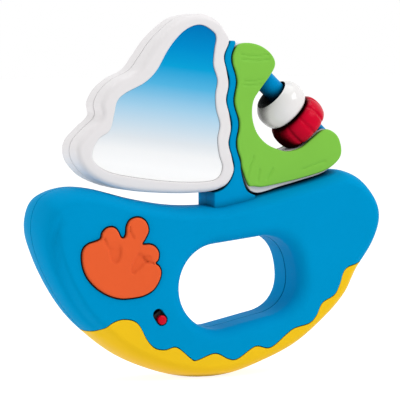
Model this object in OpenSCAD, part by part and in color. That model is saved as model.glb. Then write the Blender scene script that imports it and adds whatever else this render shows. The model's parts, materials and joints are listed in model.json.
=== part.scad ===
// Rocking boat toy for infants. Millimetres, +Z up, +X towards the bow, the front looks along -Y.
// The origin is the middle of the flat under the keel. Outlines lie in the X-Z plane, and a depth is
// measured forward from the plane where the two halves part.

/* [Hull] */
// Length of the hull from stern to bow
hull_len = 260; // [250:1:270]
// Height of the hull at the bow
hull_h = 140; // [137:1:143]
// Thickness of the hull, front to back
hull_w = 48; // [48:1:52]
// Width of the rounded edge seen from the front
hull_edge = 10; // [9:0.5:11]
// Wall of all moulded shells
wall = 2.5; // [2.2:0.1:2.8]

/* [Window] */
// Radius of the round ends of the grip window
window_r = 28; // [26:0.5:28.5]
// Straight length between the round ends
window_straight = 36; // [30:1:37]
// Rise of the window towards the bow, degrees
window_tilt = 9; // [5:1:11]
// Radius of the rounded rim of the window
window_lip = 7.5; // [6.5:0.5:8]

/* [Mast and sails] */
// Width of the mast strip seen from the front
mast_w = 5.2; // [4.8:0.1:5.6]
// Thickness of the mast, front to back
mast_depth = 26; // [24:1:27]
// Sideways swing of the wave along the mast
mast_wave = 1.25; // [0.8:0.05:1.4]
// Length of one wave along the mast
mast_pitch = 29.5; // [28:0.5:31]
// Thickness of the sails, front to back
sail_w = 28; // [27:1:30]
// Width of the main sail
sail_len = 110; // [107:1:111]
// Height of the main sail
sail_h = 122; // [120:1:123]
// Thickness of the glossy panels
panel_t = 2; // [1.5:0.1:2.4]

/* [Jib and rings] */
// Thickness of the green covers
cover_t = 3; // [2.5:0.1:3.5]
// How far the white frame shows under the front cover
frame_drop = 4; // [3.2:0.1:4.1]
// How far the rear frame reaches below the front frame
rear_drop = 1; // [0.6:0.1:1.1]
// Diameter of the bead rod
rod_d = 14.8; // [13:0.1:15]
// Slope of the bead rod below the horizontal, degrees
rod_slope = 42.7; // [41:0.1:44]
// Bore of both rings
ring_bore = 22.5; // [21:0.1:23]
// Outside diameter of the white ring
white_ring_d = 34.5; // [33:0.5:35]
// Length of the white ring along the rod
white_ring_len = 16.5; // [14:0.5:16.5]
// Outside diameter of the red ring
red_ring_d = 39.5; // [37:0.5:40]
// Length of the red ring along the rod
red_ring_len = 17; // [15:0.5:17]
// Number of flutes round the red ring
red_flutes = 10; // [8:1:12]

/* [Controls] */
// Width of the push button
button_w = 58; // [56:0.5:58]
// Height of the push button
button_h = 54; // [52:0.5:55]
// How far the button stands out of the hull
button_proud = 1.6; // [1.2:0.1:2]
// Travel of the button
button_travel = 3; // [2:0.5:3]
// Length of the power switch slot
slot_len = 12.4; // [12:0.1:13]
// Width of the power switch slot
slot_w = 8; // [7.8:0.1:8.4]
// Diameter of the power switch knob
knob_d = 7; // [6:0.1:7]
// Turn of the slot from the upright, degrees
slot_turn = 35; // [25:1:40]

/* [Inside] */
// Diameter of an AAA cell
cell_d = 10.5; // [10.5:0.1:10.5]
// Length of an AAA cell
cell_len = 44.5; // [44.5:0.1:44.5]
// Diameter of the speaker
speaker_d = 36; // [30:1:38]
// Length of the ballast bar
ballast_len = 64; // [56:1:66]
// Thickness of the ballast bar
ballast_t = 10; // [8:0.5:11]
// Place of the ballast bar along the keel
ballast_x = -9; // [-12:1:-6]

/* [Hidden] */
$fn = 64;

hull_size = [hull_len, hull_h];
half = hull_w / 2;
inner = half - wall;
sail_half = sail_w / 2;
// Overrun of every cut past the face that it opens
over = 1;
// Clearance between pieces that fit into each other
fit = 0.15;
// Clearance between pieces that move past each other
room = 0.35;
// How far a boss bites into the wall that carries it
bond = 0.5;
// Width of the seam between the keel and the hull
seam = 0.2;
steps = 4;

// Outline of the hull as shares of its length and height, from the keel round by the bow
hull_shares = [[-0.05, 0], [0.05, 0], [0.146, 0.046], [0.254, 0.129], [0.349, 0.257], [0.411, 0.371],
    [0.45, 0.489], [0.5, 0.618], [0.523, 0.743], [0.512, 0.85], [0.465, 0.954], [0.411, 0.998],
    [0.363, 0.99], [0.288, 0.952], [0.21, 0.918], [0.145, 0.888], [0.075, 0.86], [0.01, 0.843],
    [-0.096, 0.849], [-0.21, 0.886], [-0.331, 0.943], [-0.402, 0.946], [-0.458, 0.896], [-0.48, 0.791],
    [-0.473, 0.671], [-0.444, 0.536], [-0.396, 0.386], [-0.339, 0.267], [-0.246, 0.131], [-0.146, 0.044]];
// Wavy upper edge of the keel, from stern to bow, as shares of the hull's length and height
wave_shares = [[-0.423, 0.239], [-0.365, 0.256], [-0.321, 0.266], [-0.287, 0.306], [-0.253, 0.317],
    [-0.216, 0.294], [-0.187, 0.211], [-0.162, 0.169], [-0.136, 0.16], [-0.11, 0.166], [-0.067, 0.109],
    [-0.049, 0.098], [0.003, 0.124], [0.045, 0.092], [0.071, 0.09], [0.113, 0.139], [0.131, 0.148],
    [0.169, 0.139], [0.22, 0.202], [0.242, 0.226], [0.284, 0.246], [0.305, 0.284], [0.32, 0.343],
    [0.363, 0.384], [0.378, 0.436], [0.396, 0.506], [0.431, 0.529], [0.5, 0.557]];
hub_share = [0.02, 0.5];
window_share = [0.078, 0.47];
window_at = at(window_share);

// Screws: bosses, bores and heads
boss_d = 8;
bore_d = 2.4;
shank_hole_d = 3.3;
head_d = 6;
head_t = 2.2;
head_hole_d = 6.6;
recess = 8;
hull_boss_shares = [[-0.428, 0.75], [-0.125, 0.735], [0.362, 0.52], [0.467, 0.7], [-0.32, 0.383]];
// A screwed tab at the stern and a plain tongue at the bow hold the keel
tab_shares = [[-0.253, 0.317]];
tongue_shares = [[0.32, 0.352]];
tab_w = 10;
tab_t = 3;
tab_reach = 10;
tongue_reach = 6;
tab_rise = 9;
pad_rise = 2;
tab_boss_d = 7;
tab_boss_t = 4;
pad_d = 9;
pad_t = 2.5;
tab_front = inner - pad_t - fit;

// Mast: a strip that leans and waves, two lugs on each side and a foot in the deck
mast_ref_z = 1.3 * hull_h;
mast_ref_x = 0.068 * hull_len;
mast_lean = -0.064;
mast_crest_z = 1.245 * hull_h;
mast_top_z = 1.637 * hull_h;
mast_low_z = 1.02 * hull_h;
mast_half = mast_depth / 2;
sail_gap = 0.8;
tenon_half = 9;
tenon_shares = [[-0.021, 0.112], [0.711, 0.905]];
// Flanks of the flared foot, from the deck up the jib's side and down the sail's side
foot_right_shares = [[0.137, 0.887], [0.125, 0.895], [0.112, 0.911], [0.103, 0.944], [0.0965, 0.987],
    [0.092, 1.03]];
foot_left_shares = [[0.0715, 1.03], [0.071, 1.003], [0.0655, 0.976], [0.056, 0.949], [0.0425, 0.925],
    [0.027, 0.912], [0, 0.9035], [-0.024, 0.901]];
foot_low_share = 0.8;
lug_t = 4;
lug_h = 16;
lug_len = 9.5;
lug_z_shares = [1.12, 1.43];
mast_screw_shares = [[0.012, 0.743], [0.078, 0.757]];
lug_hole = 5.2;

// Main sail outline as shares of its width and height, from its right foot round by the top;
// its right edge follows the mast
sail_foot_z = 0.907 * hull_h;
sail_edge_shares = [for (k = [0 : 9]) 0.11 + 0.082 * k];
sail_top_shares = [[0.055, 0.965], [-0.06, 0.998], [-0.2, 0.967], [-0.34, 0.865], [-0.428, 0.763],
    [-0.497, 0.689], [-0.61, 0.64], [-0.688, 0.583], [-0.732, 0.51], [-0.728, 0.437], [-0.80, 0.372],
    [-0.868, 0.305], [-0.882, 0.235], [-0.85, 0.165], [-0.765, 0.092], [-0.6, 0.037], [-0.376, 0.01],
    [-0.1, 0.001], [0.09, 0.024]];
// Panel of the main sail, inside the rim of its frame
panel_edge_shares = [for (k = [0 : 8]) 0.135 + 0.083 * k];
panel_top_shares = [[0.022, 0.89], [-0.05, 0.935], [-0.13, 0.925], [-0.205, 0.882], [-0.283, 0.8],
    [-0.358, 0.69], [-0.44, 0.622], [-0.57, 0.565], [-0.625, 0.52], [-0.645, 0.45], [-0.675, 0.362],
    [-0.75, 0.315], [-0.79, 0.245], [-0.775, 0.185], [-0.67, 0.13], [-0.46, 0.092], [-0.2, 0.066],
    [0.03, 0.07]];
panel_edge_gap = 12;
panel_ledge = 3;
sail_face = panel_t + wall;
sail_boss_shares = [[-0.836, 0.24], [-0.312, 0.835], [-0.35, 0.044]];
sail_boss_d = 9;

// Foot of the jib as shares of the hull's length and height, and of the drops of the frames below it
jib_foot_edge_shares = [[0.115, 0.94, 0.75, 0.3], [0.157, 0.928, 1, 0.3], [0.213, 0.944, 0.6, 0.7],
    [0.274, 0.966, 0.43, 0.75], [0.345, 1.001, 0.35, 0.6]];
// Arm, bead gap and head of the jib, from the arm's tip up to the mast
jib_shares = [[0.383, 1.05], [0.392, 1.1], [0.381, 1.168], [0.356, 1.203], [0.332, 1.2], [0.304, 1.164],
    [0.273, 1.12], [0.235, 1.101], [0.2, 1.113], [0.165, 1.144], [0.138, 1.199], [0.125, 1.274],
    [0.128, 1.35], [0.147, 1.406], [0.179, 1.485], [0.191, 1.535], [0.179, 1.583], [0.15, 1.622],
    [0.114, 1.636], [0.085, 1.625]];
jib_edge_shares = [for (k = [0 : 12]) 1.587 - 0.047 * k];
jib_half = sail_half - cover_t;
jib_foot_shares = [[0.225, 0.292], [0.78, 0.955]];
jib_foot_half = 8;
jib_foot_screw_share = [0.258, 0.815];
jib_boss_shares = [[0.14, 1.55], [0.34, 1.1], [0.2, 1.02]];

// Bead rod and rings, measured along the rod from where it leaves the jib's head
rod_share = [0.185, 1.457];
rod_at = at(rod_share);
rod_len = 52;
rod_seat = 9;
collar_d = 20;
white_ring_from = 14.9;
red_ring_from = white_ring_from + white_ring_len + room;
ring_hang = (ring_bore - rod_d) / 2 - room;
ring_lip = 1.25;
flute_d = 9;
flute_sink = 1.6;

// Push button: outline as shares of its width and height from its middle
button_share = [-0.2715, 0.612];
button_at = at(button_share);
button_size = [button_w, button_h];
button_shares = [[0, -0.5], [0.15, -0.497], [0.28, -0.475], [0.4, -0.41], [0.475, -0.3], [0.5, -0.2],
    [0.485, -0.125], [0.43, -0.085], [0.465, -0.03], [0.468, 0.06], [0.42, 0.13], [0.355, 0.158],
    [0.262, 0.165], [0.3, 0.24], [0.339, 0.33], [0.315, 0.43], [0.255, 0.487], [0.18, 0.5],
    [0.105, 0.468], [0.065, 0.395], [0.053, 0.31], [0.022, 0.245], [-0.018, 0.297], [-0.062, 0.362],
    [-0.12, 0.392], [-0.18, 0.378], [-0.23, 0.325], [-0.262, 0.248], [-0.335, 0.222], [-0.42, 0.2],
    [-0.482, 0.15], [-0.5, 0.05],
    [-0.487, -0.08], [-0.442, -0.2], [-0.37, -0.3], [-0.27, -0.39], [-0.14, -0.463]];
button_gap = 0.5;
flange_w = 2;
flange_t = 2.4;
button_front = half + button_proud;
flange_front = inner - room;
flange_back = flange_front - flange_t;
post_d = 8;
bracket_front = 12;
bracket_t = 2;
bracket_hole_d = 14;
bracket_post_shares = [[-0.37, 0.452], [-0.146, 0.425], [-0.166, 0.745], [-0.373, 0.775]];
bracket_post_d = 7;
spring_d = 6;
spring_wire = 0.8;
spring_shares = [[-0.22, -0.22], [0.24, -0.22], [-0.12, 0.2], [0.2, 0.3]];

// Circuit board behind the bracket, with the switch under the button
board_t = 1.6;
board_front = 5.6;
board_shares = [[-0.335, -0.175], [0.47, 0.745]];
standoff_shares = [[-0.322, 0.5], [-0.19, 0.5], [-0.255, 0.715]];
standoff_d = 6;
tact_w = 6;
tact_t = 3.6;
stem_d = 3.5;
stem_t = 1.2;
// Gap that is left over the switch when the button is pressed home
press_gap = 0.25;
post_back = board_front + tact_t + stem_t + button_travel + press_gap;
chip_share = [-0.215, 0.66];
chip_d = 12;
chip_t = 1.8;

// Power switch: slot, knob and body, turned together
slot_share = [-0.1615, 0.318];
slot_at = at(slot_share);
knob_proud = 1.2;
knob_stem_w = 3;
knob_plate_w = 11;
knob_plate_len = 11;
knob_plate_t = 1.4;
knob_travel = slot_len - knob_d - 2 * room;
switch_w = 8;
switch_len = 26;
switch_front = inner - room - knob_plate_t - room;
switch_t = 6;
switch_ear = 10.5;
switch_post_d = 4.4;
switch_bore_d = 1.6;
switch_shank_d = 2;
switch_head_d = 3.6;
switch_head_t = 1.4;

// Speaker on the rear wall at the bow
speaker_share = [0.378, 0.74];
speaker_at = at(speaker_share);
speaker_rim_t = 2;
speaker_depth = 9;
basket_d = 26;
magnet_d = 20;
magnet_t = 5;
cone_t = 1;
clamp_t = 2;
clamp_reach = speaker_d / 2 + fit + bracket_post_d / 2;
grille_hole_d = 2.6;
grille_pitch = 4.4;
grille_rings = 3;

// Battery box behind the button, opening to the rear
cell_gap = 1.2;
box_wall = 1.5;
box_share = [-0.277, 0.63];
box_at = at(box_share);
cell_end_room = 3.5;
cell_side_room = 0.5;
cell_top_room = 2.6;
box_w = cell_len + 2 * cell_end_room;
box_h = 2 * cell_d + cell_gap + 2 * (box_wall + cell_side_room);
box_depth = cell_d + cell_top_room;
cell_mid = inner - cell_d / 2 - fit;
contact_t = 0.4;
contact_w = 8;
door_side = 2.5;
door_rise = 8;
door_w = box_w + 2 * door_side;
door_h = box_h + 2 * door_rise;
door_round = 4;
door_shift = 4;
door_screw_rise = 6.6;
door_boss_d = 9;
door_boss_len = 3;
door_boss_front = -inner + door_boss_len;
door_back = -inner - box_wall / 2;

// Ballast bar on two bosses in the keel
ballast_w = 28;
ballast_z = 12;
ballast_hole_x = 18;
ballast_bite = 2.5;
rocker_r = 125;

function at(share) = [share[0] * hull_size[0], share[1] * hull_size[1]];
function tab_screw_places() = [for (s = tab_shares) at(s) - [0, tab_reach / 2]];
function ballast_screw_xs() = [for (e = [-1, 1]) ballast_x + e * ballast_hole_x];
function scaled(shares, size, from) = [for (s = shares) [from[0] + s[0] * size[0], from[1] + s[1] * size[1]]];

// Point on a smooth curve between b and c
function blend(a, b, c, d, t) =
    (2 * b + (c - a) * t + (2 * a - 5 * b + 4 * c - d) * t * t + (3 * b - a - 3 * c + d) * t * t * t) / 2;
// Closed smooth outline through the points
function loop(points, n) = [for (i = [0 : len(points) - 1]) for (k = [0 : n - 1])
    let (m = len(points))
    blend(points[(i + m - 1) % m], points[i], points[(i + 1) % m], points[(i + 2) % m], k / n)];
// Open smooth line through the points
function line(points, n) = concat([for (i = [0 : len(points) - 2]) for (k = [0 : n - 1])
    let (m = len(points) - 1)
    blend(points[max(i - 1, 0)], points[i], points[i + 1], points[min(i + 2, m)], k / n)],
    [points[len(points) - 1]]);
// Outward direction at point i of an outline that runs anticlockwise
function outward(points, i) = let (m = len(points), t = points[(i + 1) % m] - points[(i + m - 1) % m])
    [t[1], -t[0]] / norm(t);
function inset(points, d) = [for (i = [0 : len(points) - 1]) points[i] - d * outward(points, i)];
function mast_x(z) = mast_ref_x + mast_lean * (z - mast_ref_z)
    + mast_wave * cos(360 * (z - mast_crest_z) / mast_pitch);

function beside_mast(z, shift) = [mast_x(z) + shift, z];

hull_outline = loop(scaled(hull_shares, hull_size, [0, 0]), steps);
wave_line = line(scaled(wave_shares, hull_size, [0, 0]), steps);
sail_size = [sail_len, sail_h];
sail_outline = loop(concat(
    [for (s = sail_edge_shares) beside_mast(sail_foot_z + s * sail_h, -mast_w / 2 - sail_gap)],
    scaled(sail_top_shares, sail_size, [0, sail_foot_z])), steps);
panel_outline = loop(concat(
    [for (s = panel_edge_shares) beside_mast(sail_foot_z + s * sail_h, -panel_edge_gap)],
    scaled(panel_top_shares, sail_size, [0, sail_foot_z])), steps);
button_outline = loop(scaled(button_shares, button_size, button_at), steps);
function jib_outline(drop, more) = loop(concat(
    [for (s = jib_foot_edge_shares) at(s) - [0, s[2] * drop + s[3] * more]],
    [for (s = jib_shares) at(s)],
    [for (s = jib_edge_shares) beside_mast(s * hull_h, mast_w / 2 + sail_gap)]), steps);

// Basic solids: a plate between two depths, a round peg, a box
module plate(points, back, front) {
    rotate([90, 0, 0]) translate([0, 0, back]) linear_extrude(front - back) polygon(points);
}
module grown_plate(points, grow, back, front) {
    rotate([90, 0, 0]) translate([0, 0, back]) linear_extrude(front - back) offset(r = grow) polygon(points);
}
module peg(place, d, back, front) {
    rotate([90, 0, 0]) translate([place[0], place[1], back]) cylinder(d = d, h = front - back);
}
module box(x, z, back, front) {
    translate([x[0], -front, z[0]]) cube([x[1] - x[0], front - back, z[1] - z[0]]);
}
// Closed solid through rings of one outline, each ring a depth and an inset
module loft(points, rings) {
    n = len(points);
    m = len(rings);
    hub = at(hub_share);
    corners = [for (r = rings) for (p = inset(points, r[1])) [p[0], -r[0], p[1]]];
    hubs = [[hub[0], -rings[0][0], hub[1]], [hub[0], -rings[m - 1][0], hub[1]]];
    sides = [for (k = [0 : m - 2]) for (i = [0 : n - 1]) let (j = (i + 1) % n, a = k * n, b = a + n)
        each [[a + i, b + i, b + j], [a + i, b + j, a + j]]];
    back_face = [for (i = [0 : n - 1]) [m * n, i, (i + 1) % n]];
    front_face = [for (i = [0 : n - 1]) [m * n + 1, (m - 1) * n + (i + 1) % n, (m - 1) * n + i]];
    polyhedron(concat(corners, hubs), concat(sides, back_face, front_face));
}
function pillow_rings(from, margin) = [for (k = [from : steps]) let (a = 90 * k / steps)
    [(half - margin) * sin(a), margin + (hull_edge - margin) * (1 - cos(a))]];
// Solid of the window opening with a rounded rim at both faces
module window_core(r, lip, face) {
    rim = [for (k = [0 : steps]) let (a = 90 * k / steps)
        [r + lip * (1 - cos(a)), face - lip * (1 - sin(a))]];
    edge = concat([[r, 0]], rim, [[r + lip, face + over]]);
    far = [for (k = [len(edge) - 1 : -1 : 0]) [edge[k][0], -edge[k][1]]];
    profile = concat(edge, [[0, face + over], [0, -face - over]], far);
    slab = concat(edge, [for (p = far) [-p[0], -p[1]]], [for (p = edge) [-p[0], -p[1]]], far);
    translate([window_at[0], 0, window_at[1]]) rotate([90, -window_tilt, 0]) {
        for (side = [-1, 1]) translate([side * window_straight / 2, 0, 0]) rotate_extrude() polygon(profile);
        translate([-window_straight / 2, 0, 0]) rotate([90, 0, 90]) linear_extrude(window_straight)
            polygon(slab);
    }
}
// Region under the wavy line, through the whole depth
module under_wave(lift) {
    low = -hull_h;
    line_up = [for (p = wave_line) p + [0, lift]];
    plate(concat([[wave_line[0][0], low]], [[wave_line[len(wave_line) - 1][0], low]],
        [for (k = [len(line_up) - 1 : -1 : 0]) line_up[k]]), -half - over, half + over);
}
// Front half of the hull: a rounded shell with the window tube, open at the parting plane and the keel
module half_hull() {
    difference() {
        loft(hull_outline, pillow_rings(0, 0));
        difference() {
            loft(hull_outline, concat([[-over, wall]], pillow_rings(0, wall)));
            window_core(window_r + wall, window_lip - wall, inner);
        }
        window_core(window_r, window_lip, half);
        under_wave(seam);
    }
}
// Deck sockets that take the mast's tenon and the jib's foot
module deck_sockets() {
    foot_x = [for (s = tenon_shares[0]) s * hull_len] + [-fit, fit];
    foot_z = [for (s = tenon_shares[1]) s * hull_h];
    box(foot_x, foot_z, -tenon_half - fit, tenon_half + fit);
    jib_x = [for (s = jib_foot_shares[0]) s * hull_len] + [-fit, fit];
    jib_z = [for (s = jib_foot_shares[1]) s * hull_h];
    box(jib_x, jib_z, -jib_foot_half - fit, jib_foot_half + fit);
}
// Tabs that reach down behind the keel's wall
module keel_tab(p, reach) {
    x = [p[0] - tab_w / 2, p[0] + tab_w / 2];
    box(x, [p[1] - reach, p[1] + tab_rise], tab_front - tab_t, tab_front);
    box(x, [p[1] + pad_rise, p[1] + tab_rise], tab_front - tab_t, inner + bond);
}
module keel_tabs() {
    for (s = tab_shares) keel_tab(at(s), tab_reach);
    for (s = tongue_shares) keel_tab(at(s), tongue_reach);
}
module hull_front_shell() {
    color("DeepSkyBlue") difference() {
        union() {
            half_hull();
            for (s = hull_boss_shares) peg(at(s), boss_d, 0, inner + bond);
            for (s = bracket_post_shares) peg(at(s), bracket_post_d, bracket_front, inner + bond);
            for (s = mast_screw_shares) peg(at(s), boss_d, tenon_half + fit, inner + bond);
            peg(at(jib_foot_screw_share), boss_d, jib_foot_half + fit, inner + bond);
            switch_posts();
            keel_tabs();
        }
        deck_sockets();
        grown_plate(button_outline, button_gap, inner - over, half + over);
        at_switch() slot_shape(slot_w, slot_len, inner - over, half + over);
        for (s = hull_boss_shares) peg(at(s), bore_d, -over, inner - wall);
        for (s = bracket_post_shares) peg(at(s), bore_d, bracket_front - over, inner - wall);
        for (s = mast_screw_shares) peg(at(s), bore_d, tenon_half - over, inner - wall);
        peg(at(jib_foot_screw_share), bore_d, jib_foot_half - over, inner - wall);
        at_switch() for (e = [-1, 1]) peg([0, e * switch_ear], switch_bore_d, switch_front - over, inner);
    }
}
module hull_rear_shell() {
    clamp_posts = clamp_screw_places();
    color("DeepSkyBlue") difference() {
        union() {
            mirror([0, 1, 0]) half_hull();
            for (s = hull_boss_shares) peg(at(s), boss_d, -inner - bond, 0);
            for (s = mast_screw_shares) peg(at(s), boss_d, -inner - bond, -tenon_half - fit);
            peg(at(jib_foot_screw_share), boss_d, -inner - bond, -jib_foot_half - fit);
            for (p = clamp_posts) peg(p, bracket_post_d, -inner - bond, -inner + speaker_rim_t);
            mirror([0, 1, 0]) keel_tabs();
            for (p = tab_screw_places()) peg(p, tab_boss_d, -tab_front, -tab_front + tab_t + tab_boss_t);
            peg(door_screw_at(), door_boss_d + 2 * box_wall, -inner - bond, -inner + recess);
        }
        deck_sockets();
        for (p = concat([for (s = hull_boss_shares) at(s)], [for (s = mast_screw_shares) at(s)],
            [at(jib_foot_screw_share)])) {
            peg(p, shank_hole_d, -half, over);
            peg(p, head_hole_d, -half - over, -half + recess);
        }
        for (p = clamp_posts) peg(p, bore_d, -inner, -inner + speaker_rim_t + over);
        for (p = tab_screw_places()) peg(p, bore_d, -half, 0);
        battery_opening();
        peg(door_screw_at(), bore_d, -half, -inner + recess + over);
        peg(door_screw_at(), door_boss_d + 2 * fit, -half - over, door_boss_front + fit);
        speaker_grille();
    }
}
module keel() {
    color("Gold") difference() {
        union() {
            intersection() {
                difference() {
                    loft(hull_outline, pillow_rings(-steps, 0));
                    loft(hull_outline, pillow_rings(-steps, wall));
                }
                under_wave(-seam);
            }
            for (x = ballast_screw_xs()) let (low = x * x / (2 * rocker_r) + wall - bond)
                translate([x, 0, low]) cylinder(d = boss_d, h = ballast_z - low);
            for (side = [0, 1]) mirror([0, side, 0])
                for (p = tab_screw_places()) peg(p, pad_d, inner - pad_t, inner + bond);
        }
        translate([-hull_len, -hull_w, -hull_h]) cube([2 * hull_len, 2 * hull_w, hull_h]);
        for (x = ballast_screw_xs()) translate([x, 0, ballast_z - ballast_bite])
            cylinder(d = bore_d, h = ballast_bite + over);
        for (p = tab_screw_places()) {
            peg(p, shank_hole_d, -half, -inner + pad_t + over);
            peg(p, head_hole_d, -half - over, -half + head_t + fit);
        }
    }
}
module ballast_bar() {
    color("DimGray") difference() {
        translate([ballast_x - ballast_len / 2, -ballast_w / 2, ballast_z])
            cube([ballast_len, ballast_w, ballast_t]);
        for (x = ballast_screw_xs()) translate([x, 0, ballast_z - over])
            cylinder(d = shank_hole_d, h = ballast_t + 2 * over);
    }
}
module ballast_screws() {
    color("Silver") for (x = ballast_screw_xs()) translate([x, 0, 0]) {
        translate([0, 0, ballast_z + ballast_t]) cylinder(d = head_d, h = head_t);
        translate([0, 0, ballast_z - ballast_bite]) cylinder(d = bore_d, h = ballast_t + ballast_bite + fit);
    }
}
module hull_screws() {
    color("Silver") for (s = hull_boss_shares) screw_into(at(s), -half + recess - head_t, inner - 2 * wall);
}
// Screw whose thread has the size of the bore that it is driven into
module screw_into(place, head_back, tip) {
    peg(place, head_d, head_back, head_back + head_t);
    peg(place, bore_d, head_back + fit, tip);
}
module keel_screws() {
    color("Silver") for (p = tab_screw_places())
        screw_into(p, -half + fit, -tab_front + tab_t + tab_boss_t - over);
}
module mast() {
    span = mast_top_z - mast_low_z;
    n = 6 * steps;
    rise = [for (k = [0 : n]) mast_low_z + span * k / n];
    tip = mast_w / 3;
    right = [for (z = rise) [mast_x(z) + mast_w / 2, z]];
    left = [for (k = [n : -1 : 0]) [mast_x(rise[k]) - mast_w / 2, rise[k]]];
    top = [[mast_x(mast_top_z) + tip, mast_top_z + tip], [mast_x(mast_top_z) - tip, mast_top_z + tip]];
    right_flank = line(scaled(foot_right_shares, hull_size, [0, 0]), steps);
    left_flank = line(scaled(foot_left_shares, hull_size, [0, 0]), steps);
    low = foot_low_share * hull_h;
    foot = concat([[left_flank[len(left_flank) - 1][0], low], [right_flank[0][0], low]], right_flank,
        left_flank);
    tenon_x = [for (s = tenon_shares[0]) s * hull_len];
    tenon_z = [for (s = tenon_shares[1]) s * hull_h];
    color("DeepSkyBlue") difference() {
        union() {
            plate(concat(right, top, left), -mast_half, mast_half);
            difference() {
                plate(foot, -mast_half, mast_half);
                loft(hull_outline, pillow_rings(-steps, -fit));
            }
            box(tenon_x, tenon_z, -tenon_half, tenon_half);
            for (s = lug_z_shares) lug(s * hull_h, 0);
        }
        for (s = mast_screw_shares) peg(at(s), shank_hole_d, -mast_depth, mast_depth);
        for (s = lug_z_shares) for (p = lug_holes(s * hull_h)) peg(p, shank_hole_d, -mast_depth, mast_depth);
    }
}
function lug_holes(z) = [for (e = [-1, 1]) [mast_x(z) + e * (mast_w / 2 + lug_hole), z]];
module lug(z, grow) {
    reach = mast_w / 2 + lug_len + grow;
    rise = lug_h / 2 + grow;
    depth = lug_t / 2 + grow;
    box([mast_x(z) - reach, mast_x(z) + reach], [z - rise, z + rise], -depth, depth);
}
module mast_screws() {
    color("Silver") for (s = mast_screw_shares) screw_into(at(s), -half + recess - head_t, inner - 2 * wall);
}
// Front half of the main sail's frame, open at the parting plane, with a stepped seat for the panel
module half_sail() {
    difference() {
        union() {
            difference() {
                plate(sail_outline, 0, sail_half);
                plate(inset(sail_outline, wall), -over, sail_half - sail_face);
                plate(inset(panel_outline, panel_ledge), -over, sail_half + over);
            }
            for (s = lug_z_shares)
                peg(lug_holes(s * hull_h)[0], sail_boss_d, lug_t / 2 + fit, sail_half - wall);
            for (p = scaled(sail_boss_shares, sail_size, [0, sail_foot_z]))
                peg(p, sail_boss_d, 0, sail_half - wall);
        }
        plate(inset(panel_outline, -fit), sail_half - panel_t, sail_half + over);
        for (s = lug_z_shares) lug(s * hull_h, fit);
    }
}
function sail_screw_places() = concat([for (s = lug_z_shares) lug_holes(s * hull_h)[0]],
    scaled(sail_boss_shares, sail_size, [0, sail_foot_z]));
module main_sail_front_frame() {
    color("WhiteSmoke") difference() {
        half_sail();
        for (p = sail_screw_places()) peg(p, bore_d, -over, sail_half - wall - over);
    }
}
module main_sail_rear_frame() {
    color("WhiteSmoke") difference() {
        mirror([0, 1, 0]) half_sail();
        for (p = sail_screw_places()) {
            peg(p, shank_hole_d, -sail_half - over, over);
            peg(p, head_hole_d, -sail_half - over, -sail_half + wall + head_t);
        }
    }
}
module main_sail_front_panel() {
    color("SkyBlue") plate(panel_outline, sail_half - panel_t, sail_half - fit);
}
module main_sail_rear_panel() {
    color("SkyBlue") plate(panel_outline, fit - sail_half, panel_t - sail_half);
}
module main_sail_screws() {
    color("Silver") for (p = sail_screw_places()) screw_into(p, -sail_half + wall, sail_half - 2 * wall);
}
// Hollow half of the jib's frame with a collar round each end of the rod
module half_jib(more) {
    shape = jib_outline(frame_drop, more);
    difference() {
        union() {
            difference() {
                plate(shape, 0, jib_half);
                plate(inset(shape, wall), -over, jib_half - wall);
            }
            intersection() {
                plate(shape, 0, jib_half);
                along_rod(-rod_seat) cylinder(d = collar_d, h = rod_seat);
            }
            intersection() {
                plate(shape, 0, jib_half);
                along_rod(rod_len - over) cylinder(d = collar_d, h = rod_seat + over);
            }
            for (s = lug_z_shares) peg(lug_holes(s * hull_h)[1], sail_boss_d, lug_t / 2 + fit, jib_half);
            for (s = jib_boss_shares) peg(at(s), sail_boss_d, 0, jib_half);
            jib_foot();
        }
        along_rod(-rod_seat) cylinder(d = rod_d, h = rod_len + 2 * rod_seat);
        for (s = lug_z_shares) lug(s * hull_h, fit);
    }
}
module along_rod(from) {
    translate([rod_at[0], 0, rod_at[1]]) rotate([0, 90 + rod_slope, 0]) translate([0, 0, from]) children();
}
// Half of the block under the jib that stands in the deck
module jib_foot() {
    x = [for (s = jib_foot_shares[0]) s * hull_len];
    z = [for (s = jib_foot_shares[1]) s * hull_h];
    box(x, [z[0], z[1] + wall], 0, jib_foot_half);
}
function jib_screw_places() = concat([for (s = lug_z_shares) lug_holes(s * hull_h)[1]],
    [for (s = jib_boss_shares) at(s)]);
module jib_front_frame() {
    color("WhiteSmoke") difference() {
        half_jib(0);
        for (p = jib_screw_places()) peg(p, bore_d, -over, jib_half - over);
        peg(at(jib_foot_screw_share), shank_hole_d, -over, sail_half);
    }
}
module jib_rear_frame() {
    color("WhiteSmoke") difference() {
        mirror([0, 1, 0]) half_jib(rear_drop);
        for (p = jib_screw_places()) {
            peg(p, shank_hole_d, -sail_half, over);
            peg(p, head_hole_d, -sail_half, -jib_half + head_t + fit);
        }
        peg(at(jib_foot_screw_share), shank_hole_d, -sail_half, over);
    }
}
module jib_front_cover() {
    color("YellowGreen") plate(jib_outline(0, 0), jib_half, sail_half);
}
module jib_rear_cover() {
    color("YellowGreen") plate(jib_outline(0, 0), -sail_half, -jib_half);
}
module jib_screws() {
    color("Silver") for (p = jib_screw_places()) screw_into(p, -jib_half + fit, jib_half - 2 * over);
}
module jib_foot_screw() {
    color("Silver") screw_into(at(jib_foot_screw_share), -half + recess - head_t, inner - 2 * wall);
}
module bead_rod() {
    color("RoyalBlue") along_rod(-rod_seat) cylinder(d = rod_d, h = rod_len + 2 * rod_seat);
}
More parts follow.
